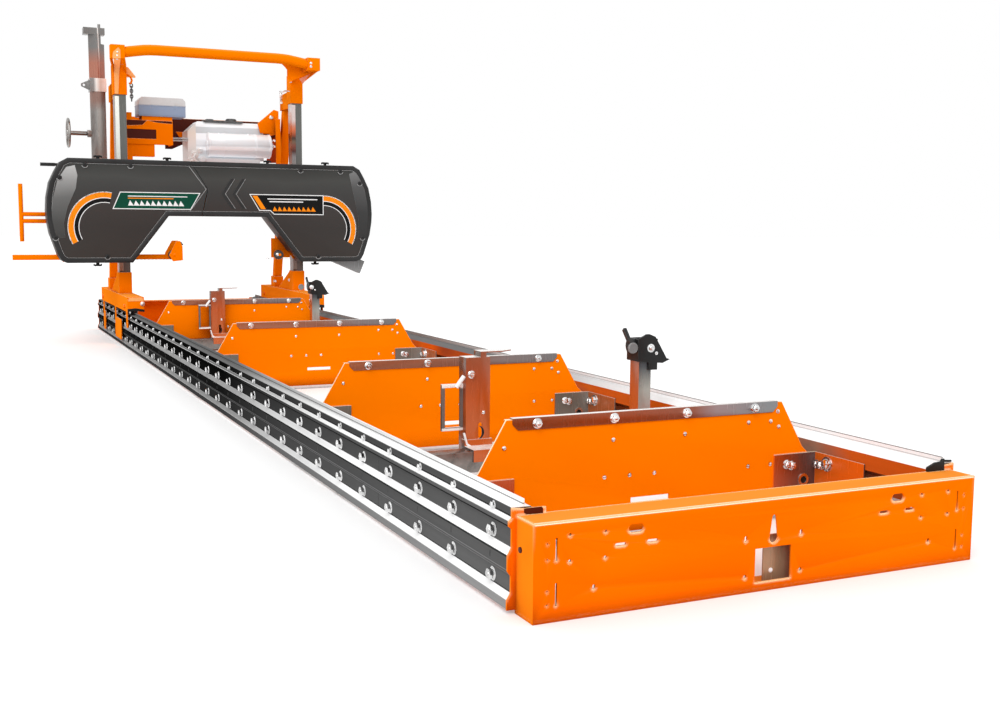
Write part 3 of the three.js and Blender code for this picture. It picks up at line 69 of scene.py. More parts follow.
# Places that the rest follows
FRONT_LOW, FRONT_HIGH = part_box("front_crossmember")
REAR_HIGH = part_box("rear_crossmember")[1]
RAIL_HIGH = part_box("left_rail")[1]
MIDDLE = (FRONT_LOW.x + FRONT_HIGH.x) / 2
START = FRONT_LOW.y
BUNK_PLACES = [0.466, 1.643, 3.221, 4.829]
MAST_FRONT = 5.460
FACE_MARGIN = 0.0005
STOP_LEFT = 0.163
STOP_FRONT = 1.1956
SET_PLACES = [(1, 0.0), (2, 3.570)]
COLLAR_BASE = 1.487
COLLAR_TOP = 1.562
THIN_LOOPS = ("blade", "drive_belt")

# Directions
LEFT = Vector((-1, 0, 0))
RIGHT = Vector((1, 0, 0))
TOWARD = Vector((0, -1, 0))
AWAY = Vector((0, 1, 0))
UP = Vector((0, 0, 1))

# Rounding of edges: widths, weld distance and the angles past which an edge is rounded or shaded sharp
NODE_BEVEL = 0.0012
PLATE_BEVEL = 0.0006
BEVELS = {"front_crossmember": 0.0035, "rear_crossmember": 0.0035, "cover_left": 0.003, "cover_right": 0.003,
          "left_rail": 0.0006, "right_rail": 0.0006}
WELD = 0.00002
BEVEL_ANGLE = math.radians(32)
RAIL_BEVEL_ANGLE = math.radians(12)
FLAT_ANGLE = math.radians(1)
SHARP_ANGLE = 0.6


def at(x, y, z):
    """A place from the track's middle, its loading end and the ground."""
    return Vector((MIDDLE + x, START + y, z))


def sight(pixel):
    """The direction in which the camera sees a pixel of the photograph."""
    right, down = [(place - middle) / PHOTO_FOCAL for place, middle in zip(pixel, PHOTO_MIDDLE)]
    return (CAMERA_FORWARD + CAMERA_RIGHT * right + CAMERA_DOWN * down).normalized()


def seen_on(plane, *pixels):
    """An outline across and up, by its pixels, on a plane at a distance from the loading end."""
    rays = [sight(pixel) for pixel in pixels]
    places = [CAMERA_PLACE + ray * ((START + plane - CAMERA_PLACE.y) / ray.y) for ray in rays]
    return [(place.x - MIDDLE, place.z) for place in places]


# Mesh making


def add(name, data):
    """A new object in the scene."""
    thing = bpy.data.objects.new(name, data)
    bpy.context.scene.collection.objects.link(thing)
    return thing


class Shape:
    """One mesh, put together from prisms, turned forms, tubes and lofts."""

    def __init__(self):
        self.bm = bmesh.new()

    def loft(self, rings, around=False):
        """A skin over rings of points, with two end caps or all the way around."""
        made = [[self.bm.verts.new(p) for p in points] for points in rings]
        count = len(made[0])
        for a, b in zip(made, made[1:] + made[:1] if around else made[1:]):
            for i in range(count):
                j = (i + 1) % count
                self.bm.faces.new((a[i], a[j], b[j], b[i]))
        if not around:
            self.bm.faces.new(list(reversed(made[0])))
            self.bm.faces.new(made[-1])
        return self

    def prism(self, axis, outline, start, end):
        """An outline in the two other axes, in order, drawn out along an axis."""
        return self.loft([[along(axis, u, v, t) for u, v in outline] for t in (start, end)])

    def flat(self, outline, near, far):
        """A prism that faces the loading end, by its outline from the middle and from the ground."""
        return self.prism("Y", [(MIDDLE + x, z) for x, z in outline], near, far)

    def box(self, low, high):
        return self.prism("Z", corners(low, high), low[2], high[2])

    def turned(self, centre, axis, profile, count=32):
        """Rings about an axis through centre; the profile holds pairs of distance along and radius."""
        side, other = across(axis)
        return self.loft([ring(centre + axis * reach, side, other, radius, count)
                          for reach, radius in profile])

    def bolt(self, form, place, axis, size):
        """A bolt's or nut's turned parts; the form gives their profiles as shares of the size."""
        for profile, count in form:
            self.turned(place, axis, [(reach * size, radius * size) for reach, radius in profile], count)
        return self

    def hoop(self, centre, axis, section, count):
        """A closed section, in pairs of distance along and radius, swept about an axis."""
        side, other = across(axis)
        rings = []
        for a in angles(count):
            out = side * math.cos(a) + other * math.sin(a)
            rings.append([centre + axis * reach + out * radius for reach, radius in section])
        return self.loft(rings, around=True)

    def tube(self, path, radius, count=12, closed=False):
        """A round bar that follows a path of points."""
        rings = []
        last = len(path) - 1
        side = None
        for i, point in enumerate(path):
            before = path[i - 1] if i or closed else path[0]
            after = path[(i + 1) % len(path)] if i < last or closed else path[last]
            ahead = (after - before).normalized()
            if side is None:
                side = across(ahead)[0]
            side = (side - ahead * side.dot(ahead)).normalized()
            rings.append(ring(point, side, ahead.cross(side), radius, count))
        return self.loft(rings, around=closed)

    def made(self, name):
        """The shape as an object."""
        mesh = bpy.data.meshes.new(name)
        self.bm.to_mesh(mesh)
        self.bm.free()
        return add(name, mesh)

    def done(self, name, body, slot=None, look=None, bevel=0.0):
        """The finished piece, riding on its body; without a look of its own it takes its slot's."""
        bmesh.ops.recalc_face_normals(self.bm, faces=self.bm.faces)
        for face in self.bm.faces:
            face.smooth = True
        for edge in self.bm.edges:
            edge.smooth = len(edge.link_faces) == 2 and edge.calc_face_angle() < SHARP_ANGLE
        piece = self.made(name)
        piece.data.materials.append(look or LOOKS[slot])
        if bevel:
            round_edges(piece, bevel)
        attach(piece, body)
        return piece


def along(axis, u, v, t):
    return Vector({"X": (t, u, v), "Y": (u, t, v), "Z": (u, v, t)}[axis])


def across(axis):
    """Two directions square to an axis."""
    start = UP if abs(axis.z) < 0.9 else RIGHT
    side = start.cross(axis).normalized()
    return side, axis.cross(side).normalized()


def angles(count, start=0.0):
    return [start + 2 * math.pi * i / count for i in range(count)]


def ring(middle, side, other, radius, count):
    return [middle + (side * math.cos(a) + other * math.sin(a)) * radius for a in angles(count)]


def corners(low, high):
    return [(low[0], low[1]), (high[0], low[1]), (high[0], high[1]), (low[0], high[1])]


def arc(centre, radius, start, end, count):
    """Points on an arc in degrees, from start to end."""
    turns = [math.radians(start + (end - start) * i / count) for i in range(count + 1)]
    return [(centre[0] + radius * math.cos(a), centre[1] + radius * math.sin(a)) for a in turns]


def mitres(points, closed=True):
    """At each point of an outline, the step inward that moves both its edges in by one."""
    count = len(points)
    area = sum(a[0] * b[1] - b[0] * a[1] for a, b in zip(points, points[1:] + points[:1]))
    sign = 1 if area > 0 else -1
    found = []
    for i, (x, y) in enumerate(points):
        normals = []
        if closed or i:
            before = points[i - 1]
            normals.append(Vector((before[1] - y, x - before[0])).normalized())
        if closed or i < count - 1:
            after = points[(i + 1) % count]
            normals.append(Vector((y - after[1], after[0] - x)).normalized())
        share = 1 + normals[0].dot(normals[-1]) if len(normals) == 2 else 1
        found.append(sum(normals, Vector((0, 0))) * sign / max(share, 0.3))
    return found


def grown(outline, width):
    """The outline moved out on all sides."""
    return [(p[0] - m.x * width, p[1] - m.y * width) for p, m in zip(outline, mitres(outline))]


def round_edges(piece, width):
    bevel = piece.modifiers.new("edges", "BEVEL")
    bevel.width = width
    bevel.segments = 2
    bevel.limit_method = "ANGLE"
    bevel.angle_limit = BEVEL_ANGLE
    bevel.harden_normals = True
    bevel.use_clamp_overlap = True


def dress(node, looks, cutters, pick):
    """A CAD node with welded, rounded edges, its holes and its finishes; pick tells a face's finish."""
    piece = NODES[node]
    is_rail = node.endswith("_rail")
    piece.data.materials.clear()
    for look in looks:
        piece.data.materials.append(look)
    piece.modifiers.new("weld", "WELD").merge_threshold = WELD
    if node not in THIN_LOOPS:
        plain = piece.modifiers.new("flat", "DECIMATE")
        plain.decimate_type = "DISSOLVE"
        plain.angle_limit = FLAT_ANGLE
        plain.delimit = {"MATERIAL"}
    for i, tool in enumerate(cutters):
        hole = piece.modifiers.new(f"hole_{i}", "BOOLEAN")
        hole.object = tool
        hole.operation = "DIFFERENCE"
        hole.solver = "EXACT"
    for face in piece.data.polygons:
        face.use_smooth = not is_rail
        face.material_index = pick(face.center, face.normal) if pick else 0
    round_edges(piece, BEVELS.get(node, NODE_BEVEL))
    if is_rail:
        piece.modifiers["edges"].angle_limit = RAIL_BEVEL_ANGLE


def cutter(name, outlines, near, far):
    """A hidden solid that holes are cut with."""
    shape = Shape()
    for outline in outlines:
        shape.flat(outline, near, far)
    bmesh.ops.recalc_face_normals(shape.bm, faces=shape.bm.faces)
    tool = shape.made(name)
    tool.hide_render = True
    tool.hide_viewport = True
    return [tool]


# Material making


def linear(colour):
    """A display colour from 0 to 255 as the shader's linear colour; four parts are linear already."""
    if len(colour) == 4:
        return colour
    shares = [part / 255 for part in colour]
    return tuple(s / 12.92 if s <= 0.04045 else ((s + 0.055) / 1.055) ** 2.4 for s in shares) + (1.0,)


def grey(level, warmth=0):
    return (level + warmth, level, max(level - warmth, 0))


def scaled(colour, factor, more=0.0):
    return tuple(min(1.0, factor * part + more) for part in linear(colour)[:3]) + (1.0,)


def stops(tones):
    """A row of place, red, green and blue as pairs of place and colour."""
    return [(place, colour) for place, *colour in tones]


class Tree:
    """A node tree, with short ways to add to it."""

    def __init__(self, owner):
        owner.use_nodes = True
        self.tree = owner.node_tree

    def feed(self, node, values):
        """Links other nodes' outputs to a node's inputs, and sets plain values."""
        for key, value in values.items():
            if isinstance(value, bpy.types.NodeSocket):
                self.tree.links.new(value, node.inputs[key])
            else:
                node.inputs[key].default_value = value
        return node

    def new(self, kind, values, **settings):
        node = self.tree.nodes.new("ShaderNode" + kind)
        for key, setting in settings.items():
            setattr(node, key, setting)
        return self.feed(node, values)

    def sum(self, first, second, kind="ADD"):
        return self.new("Math", {0: first, 1: second}, operation=kind).outputs[0]

    def spread(self, value, low, high, to_low=0.0, to_high=1.0):
        keys = ("Value", "From Min", "From Max", "To Min", "To Max")
        return self.new("MapRange", dict(zip(keys, (value, low, high, to_low, to_high)))).outputs["Result"]

    def seen_or_mirrored(self):
        """1 for what the camera sees straight, in a mirror or through glass, else 0."""
        path = self.new("LightPath", {}).outputs
        straight = self.sum(path["Is Camera Ray"], path["Is Glossy Ray"], "MAXIMUM")
        return self.sum(straight, path["Is Transmission Ray"], "MAXIMUM")


class Finish(Tree):
    """A material's node tree round its Principled shader."""

    def __init__(self, name, colour, metallic, roughness, specular=0.5):
        self.material = bpy.data.materials.new(name)
        super().__init__(self.material)
        self.shader = self.feed(self.tree.nodes["Principled BSDF"], {
            "Base Color": linear(colour), "Metallic": metallic, "Roughness": roughness,
            "Specular IOR Level": specular})
        self.place = self.new("TexCoord", {}).outputs["Object"]
        self.normal = self.new("NewGeometry", {}).outputs["Normal"]

    def noise(self, scale, detail=3.0, stretch=(1, 1, 1)):
        place = self.new("Mapping", {"Vector": self.place, "Scale": stretch}).outputs["Vector"]
        return self.new("TexNoise", {"Vector": place, "Scale": scale, "Detail": detail}).outputs["Fac"]

    def grain(self, noise, low, high):
        """Noise brought to a range."""
        return self.spread(noise, 0.3, 0.7, low, high)

    def ramp(self, value, tones, kind="LINEAR"):
        node = self.new("ValToRGB", {"Fac": value})
        ramp = node.color_ramp
        ramp.interpolation = kind
        while len(ramp.elements) < len(tones):
            ramp.elements.new(0.5)
        for element, (place, colour) in zip(ramp.elements, tones):
            element.position = place
            element.color = linear(colour)
        return node.outputs["Color"]

    def mix(self, share, first, second, blend="MIX"):
        first, second = [linear(value) if isinstance(value, tuple) else value for value in (first, second)]
        node = self.new("Mix", {0: share, 6: first, 7: second}, data_type="RGBA", blend_type=blend)
        return node.outputs[2]

    def part(self, vector, axis):
        return self.new("SeparateXYZ", {"Vector": vector}).outputs[axis]

    def reach(self, axis, low, high):
        """How far along an axis a place lies, from 0 at low to 1 at high."""
        return self.spread(self.part(self.place, axis), low, high)

    def facing(self, axis, low, high, to_low=0.0, to_high=1.0):
        """How far a surface looks along an axis, from 0 at low to 1 at high."""
        return self.spread(self.part(self.normal, axis), low, high, to_low, to_high)

    def edges(self, radius, upward=False):
        """From 0 on a flat face to 1 on a sharp edge; upward keeps the edges that look up only."""
        rounded = self.new("Bevel", {"Radius": radius}, samples=4).outputs["Normal"]
        product = self.new("VectorMath", {0: rounded, 1: self.normal}, operation="DOT_PRODUCT")
        share = self.spread(product.outputs["Value"], 0.995, 0.80)
        if not upward:
            return share
        return self.sum(share, self.spread(self.part(rounded, "Z"), 0.12, 0.4), "MULTIPLY")

    def done(self, colour, gloss=None, height=None, strength=0.0, distance=0.001):
        """The material, with its colour, roughness and bumps wired in."""
        self.feed(self.shader, {"Base Color": colour})
        if gloss is not None:
            self.feed(self.shader, {"Roughness": gloss})
        if height is not None:
            bump = self.new("Bump", {"Height": height, "Strength": strength, "Distance": distance})
            self.feed(self.shader, {"Normal": bump.outputs["Normal"]})
        return self.material


def orange_paint(name, edge, green):
    """Powder coat with painted shade in hollows, painted light on faces that look up or left, and a painted
    highlight along upper edges.
    """
    coat = Finish(name, (255, green, 1), 0.0, 0.5, 0.0)
    body = coat.ramp(coat.noise(2.2, 2.0), [(0.35, (252, green - 6, 0)), (0.65, (255, green, 0))])
    # Painted light on faces that look left or up, painted shade in hollows from ambient occlusion, and a
    # painted cream highlight on upper edges
    body = coat.mix(coat.facing("X", -0.7, -0.98, 0.0, 0.8), body, (255, 138, 24))
    body = coat.mix(coat.facing("Z", 0.5, 0.95), body, (248, 148, 54))
    hollow_shade = coat.new("AmbientOcclusion", {"Distance": 0.14}, samples=6)
    body = coat.mix(coat.spread(hollow_shade.outputs["AO"], 0.62, 0.22, 0.0, 0.85), body, (120, 36, 10))
    body = coat.mix(coat.edges(edge, upward=True), body, (255, 238, 192))
    return coat.done(body, coat.grain(coat.noise(14.0, 4.0), 0.46, 0.56), coat.noise(420.0, 2.0), 0.04)


# Painted reflections of a rail: grey tones by share of its height, near and far, and of its fin's inner side
RAIL_TONES = [
    (0.0, 150, 60), (0.118, 252, 200), (0.182, 56, 12), (0.192, 102, 40), (0.336, 138, 120),
    (0.350, 98, 34), (0.372, 130, 94), (0.386, 94, 24), (0.496, 52, 12), (0.512, 254, 206),
    (0.579, 94, 14), (0.748, 44, 8), (0.775, 100, 14), (0.812, 232, 214), (0.845, 50, 8),
    (0.860, 84, 12), (0.928, 250, 110), (0.951, 150, 74), (0.964, 252, 114),
]
FIN_TONES = [(0.0, 250), (0.945, 206), (0.955, 252), (0.985, 150)]
# The orange parts' painted reflection on the fin's inner side
FIN_ORANGE_REFLECTION = [(0.36, (128, 112, 98)), (0.46, (206, 96, 32)), (0.60, (214, 92, 18)), (0.66, (140, 60, 34))]


def rail_steel():
    """Folded zinc sheet with painted reflections: white ribs and dark flats by height, painted darker far
    off, and a warm painted reflection of orange on the inner side.
    """
    coat = Finish("rail_steel", grey(110), 0.0, 0.34, 0.0)
    height = coat.reach("Z", 0.0, RAIL_HIGH.z)

    def far_off(start, end, near, far):
        return coat.mix(coat.reach("Y", START + start, START + end), near, far)

    near, far, inside = [
        coat.ramp(height, [(row[0], grey(row[column])) for row in table], "CONSTANT")
        for table, column in ((RAIL_TONES, 1), (RAIL_TONES, 2), (FIN_TONES, 1))]
    # Painted reflections: orange on the fin's inner side, white or grey on faces that look up, and all
    # painted darker far off
    inward = coat.sum(coat.sum(coat.part(coat.place, "X"), MIDDLE, "SUBTRACT"), coat.part(coat.normal, "X"),
                      "MULTIPLY")
    warm_reflection = coat.ramp(coat.noise(1.1, 2.0), FIN_ORANGE_REFLECTION)
    inside = coat.mix(coat.spread(height, 0.885, 0.89), warm_reflection, far_off(1.4, 3.2, inside, (142, 134, 130)))
    tone = coat.mix(coat.spread(inward, -0.2, -0.3), far_off(0.3, 2.6, near, far), inside)
    tone = coat.mix(coat.facing("Z", 0.3, 0.6), tone, far_off(1.1, 2.4, grey(252), grey(116)))
    streaks = coat.grain(coat.noise(60.0, 4.0, (1, 0.03, 1)), 0.93, 1.04)
    shade = coat.new("CombineColor", {"Red": streaks, "Green": streaks, "Blue": streaks})
    return coat.done(coat.mix(1.0, tone, shade.outputs["Color"], "MULTIPLY"),
                     coat.grain(coat.noise(30.0, 3.0, (1, 0.1, 1)), 0.28, 0.42),
                     coat.noise(300.0, 2.0, (1, 0.2, 1)), 0.03)


def brushed_steel(name, dark, light, roughness, stretch=(1, 1, 1)):
    coat = Finish(name, light, 1.0, roughness)
    scratches = coat.noise(40.0, 5.0, stretch)
    body = coat.ramp(scratches, [(0.32, dark), (0.68, light)])
    # Painted highlight: edges are paler
    return coat.done(coat.mix(coat.edges(0.0016), body, scaled(light, 1.5, 0.1)),
                     coat.grain(scratches, roughness - 0.06, roughness + 0.08), scratches, 0.05, 0.0006)


def mirror_sheet(name, axis, low, high, front, side, top=(244, 240, 236), warm_reflection=None, drift=0.06):
    """Bright sheet with its surroundings painted in as reflections: tones along an axis in front, and others
    at the sides.

    Along X, low and high count from the middle. warm_reflection holds two heights and the warm painted
    reflection that comes in from the first to the second; drift is how far the tones wander. Faces that look
    up take the top tone as painted light, and upper edges a painted highlight."""
    coat = Finish(name, top, 0.2, 0.3)
    zero = MIDDLE if axis == "X" else 0.0
    wander = coat.grain(coat.noise(2.4, 2.0), -drift, drift)
    share = coat.sum(coat.reach(axis, zero + low, zero + high), wander)
    slant = coat.sum(coat.part(coat.normal, "X"), 0.0, "MINIMUM")
    front, side = [coat.ramp(share, stops(tones)) for tones in (front, side)]
    body = coat.mix(coat.spread(slant, -0.5, -0.8), front, side)
    if warm_reflection:
        body = coat.mix(coat.spread(coat.reach("Z", *warm_reflection[:2]), 0.0, 1.0, 0.0, 0.8), body, warm_reflection[2])
    body = coat.mix(coat.facing("Z", 0.6, 0.9), body, top)
    scratches = coat.noise(90.0, 4.0, (1, 1, 0.1))
    return coat.done(coat.mix(coat.edges(0.0016, upward=True), body, (250, 244, 236)),
                     coat.grain(scratches, 0.2, 0.3), scratches, 0.03, 0.0006)


def moulded_plastic(name, low, high, roughness):
    coat = Finish(name, high, 0.0, roughness, 0.25)
    body = coat.ramp(coat.noise(5.0, 3.0), [(0.3, low), (0.7, high)])
    # Painted highlight: edges are paler
    return coat.done(coat.mix(coat.edges(0.002), body, scaled(high, 1.9, 0.02)),
                     coat.grain(coat.noise(175.0, 3.0), roughness - 0.05, roughness + 0.07),
                     coat.noise(700.0, 2.0), 0.1, 0.0005)


def shaded_plastic(name, tones, roughness=0.42):
    """Moulding with a painted sheen that changes with height, in metres from the ground; its edges are paler
    as a painted highlight.
    """
    low = tones[0][0]
    high = tones[-1][0]
    coat = Finish(name, grey(60), 0.0, roughness, 0.12)
    share = coat.sum(coat.reach("Z", low, high), coat.grain(coat.noise(3.0, 2.0), -0.03, 0.03))
    body = coat.ramp(share, [((z - low) / (high - low), colour) for z, colour in stops(tones)])
    return coat.done(coat.mix(coat.edges(0.0022), body, grey(128)),
                     coat.grain(coat.noise(160.0, 3.0), roughness - 0.05, roughness + 0.06),
                     coat.noise(700.0, 2.0), 0.08, 0.0005)


def rubber(name):
    coat = Finish(name, (28, 28, 29), 0.0, 0.75)
    body = coat.ramp(coat.noise(80.0, 4.0), [(0.3, (22, 22, 23)), (0.7, (40, 40, 41))])
    return coat.done(body, None, coat.noise(900.0, 2.0), 0.2, 0.0005)


def film(name, colour, roughness=0.4):
    """Printed vinyl, or paint with one light or shade painted into its colour."""
    coat = Finish(name, colour, 0.0, roughness, 0.12)
    speck = coat.noise(30.0, 2.0)
    body = coat.ramp(speck, [(0.2, scaled(colour, 0.93)), (0.8, colour)])
    return coat.done(body, coat.grain(speck, roughness - 0.05, roughness + 0.05))


# The engine's greys by share of its height, and those of its fan housing, left of the muffler: painted bands
# of highlight and shade
ENGINE_TONES = [
    (0.0, 150), (0.42, 200), (0.511, 218), (0.55, 198), (0.58, 206), (0.602, 250), (0.625, 250),
    (0.648, 216), (0.668, 232), (0.70, 234), (0.736, 252), (0.800, 254), (0.808, 200), (0.878, 208),
    (0.888, 250), (1.0, 252),
]
HOUSING_TONES = [(0.55, 210, 206, 202), (0.66, 224, 214, 208), (0.80, 228, 214, 202), (0.92, 217, 214, 211)]


def pale_metal(name):
    """Silver paint of the engine, with painted bands of highlight and shade along the round muffler; a
    painted glow brightens it a little underneath.
    """
    coat = Finish(name, grey(205), 0.15, 0.4, 0.1)
    low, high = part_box("engine")
    share = coat.sum(coat.reach("Z", low.z, high.z), coat.grain(coat.noise(4.0), -0.006, 0.006))
    body = coat.ramp(share, [(place, grey(level, -3)) for place, level in ENGINE_TONES])
    housing = coat.ramp(share, stops(HOUSING_TONES))
    body = coat.mix(coat.reach("X", MIDDLE - 0.052, MIDDLE - 0.046), housing, body)
    # Painted light on faces that look up, a painted glow on faces that look down, and a painted highlight on
    # upper edges
    body = coat.mix(coat.facing("Z", 0.5, 0.9), body, grey(246))
    coat.feed(coat.shader, {"Emission Strength": coat.facing("Z", -1.0, 0.1, 0.34, 0.0),
                            "Emission Color": (0.94, 0.95, 1.0, 1.0)})
    return coat.done(coat.mix(coat.edges(0.003, upward=True), body, grey(252)),
                     coat.grain(coat.noise(120.0, 3.0), 0.32, 0.46), coat.noise(500.0, 2.0), 0.06, 0.0005)


def filter_plastic(name):
    """A pale lid over a blue-grey base."""
    coat = Finish(name, grey(200), 0.0, 0.45)
    shade = coat.ramp(coat.reach("Z", 1.372, 1.486), [
        (0.0, (132, 150, 178)), (0.1, (140, 158, 186)), (0.58, grey(188)), (0.62, grey(206))], "CONSTANT")
    body = coat.mix(coat.grain(coat.noise(60.0, 3.0), 0.0, 0.12), shade, grey(170))
    # Painted highlight: edges are paler
    return coat.done(coat.mix(coat.edges(0.002), body, grey(226)),
                     coat.grain(coat.noise(200.0), 0.4, 0.52), coat.noise(600.0, 2.0), 0.1, 0.0005)


# Painted sheens of the covers by height: the whole cover, its left end's lens and its right end's dimmer lens
COVER_TONES = [(0.497, 62, 57, 54), (0.70, 58, 54, 52), (0.80, 62, 57, 55), (0.90, 62, 61, 60),
               (0.99, 68, 68, 66), (1.05, 58, 58, 56), (1.092, 46, 46, 46)]
SHEEN_TONES = [(0.56, 58, 56, 54), (0.72, 74, 74, 73), (0.86, 104, 104, 103), (0.96, 146, 146, 145),
               (1.06, 186, 186, 185)]
DIM_SHEEN_TONES = [(0.56, 50, 50, 49), (0.80, 60, 60, 60), (0.95, 84, 84, 84), (1.07, 124, 124, 124)]

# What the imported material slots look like
LOOKS = {name: make(name, *values) for name, make, *values in [
    ("orange_paint", orange_paint, 0.003, 127),
    ("galvanised_steel", brushed_steel, grey(112, 4), grey(142, 4), 0.3),
    ("machined_steel", brushed_steel, grey(150), grey(204), 0.22, (1, 1, 12)),
    ("stainless_steel", brushed_steel, grey(124, 4), grey(160, 4), 0.26, (0.2, 1, 1)),
    ("zinc_steel", brushed_steel, grey(92), grey(104), 0.34, (1, 1, 0.3)),
    ("cast_iron", brushed_steel, grey(74), grey(110), 0.42),
    ("blade_steel", brushed_steel, grey(160), grey(206), 0.2, (0.1, 1, 1)),
    ("charcoal_cover", shaded_plastic, COVER_TONES),
    ("black_paint", moulded_plastic, grey(20), grey(34), 0.34),
    ("black_plastic", moulded_plastic, grey(14), grey(26), 0.5),
    ("engine_silver", pale_metal),
    ("filter_plastic", filter_plastic),
    ("belt_rubber", rubber),
]}
ORANGE = LOOKS["orange_paint"]
BLACK = LOOKS["black_plastic"]
# The crossmembers' copy of the orange: a wider painted highlight on upper edges, and a lower green to suit
# the light they get
WIDE_HIGHLIGHT_PAINT = orange_paint("orange_paint_wide_highlight", 0.010, 114)
RAIL_STEEL = rail_steel()
CHROME = brushed_steel("bright_fastener", grey(186), grey(244), 0.12)
COVER_RIM = moulded_plastic("cover_rim", grey(34), grey(46), 0.4)
# A pale line of painted highlight, for the covers' inner lines, glints and the edges of chevrons and split
PALE_LINE = moulded_plastic("cover_edge_line", grey(116), grey(150), 0.3)
# Painted sheens on the lenses at the covers' ends
SHEEN = shaded_plastic("cover_sheen", SHEEN_TONES, 0.35)
DIM_SHEEN = shaded_plastic("cover_dim_sheen", DIM_SHEEN_TONES, 0.35)
DARK_STEEL = moulded_plastic("dark_steel", grey(40), grey(72), 0.35)
CAM_GREY = moulded_plastic("cam_grey", grey(78), grey(140), 0.3)
PIN_WHITE = film("pin_white", grey(250), 0.25)
# Vinyl prints, and paint with light, shade, glare or a cream edge highlight painted into its colour
FILM = {name: film(name, colour) for name, colour in {
    "vinyl_keyline": grey(240), "vinyl_orange": (250, 140, 8), "vinyl_black": grey(12),
    "vinyl_green": (4, 70, 52), "painted_edge_highlight": (255, 240, 204),
    "paint_in_light": (255, 178, 108), "paint_in_shade": (78, 24, 10),
    "paint_in_glare": (228, 140, 112), "paint_in_half_shade": (160, 56, 12),
}.items()}

# Sheets whose tones are painted reflections: axis, where its tones start and end, tones in front and at the
# sides, painted light on top, warm painted reflection and drift
COLUMN_SPAN = ("X", -0.682, -0.592)
MAST_SPAN = ("Z", 0.45, 1.64)
STRIP_SPAN = ("X", -0.365, 0.365)
BRACKET_SPAN = ("X", 0.36, 0.494)
STRIP_SIDE = [(0.0, 120, 60, 30), (1.0, 110, 90, 80)]
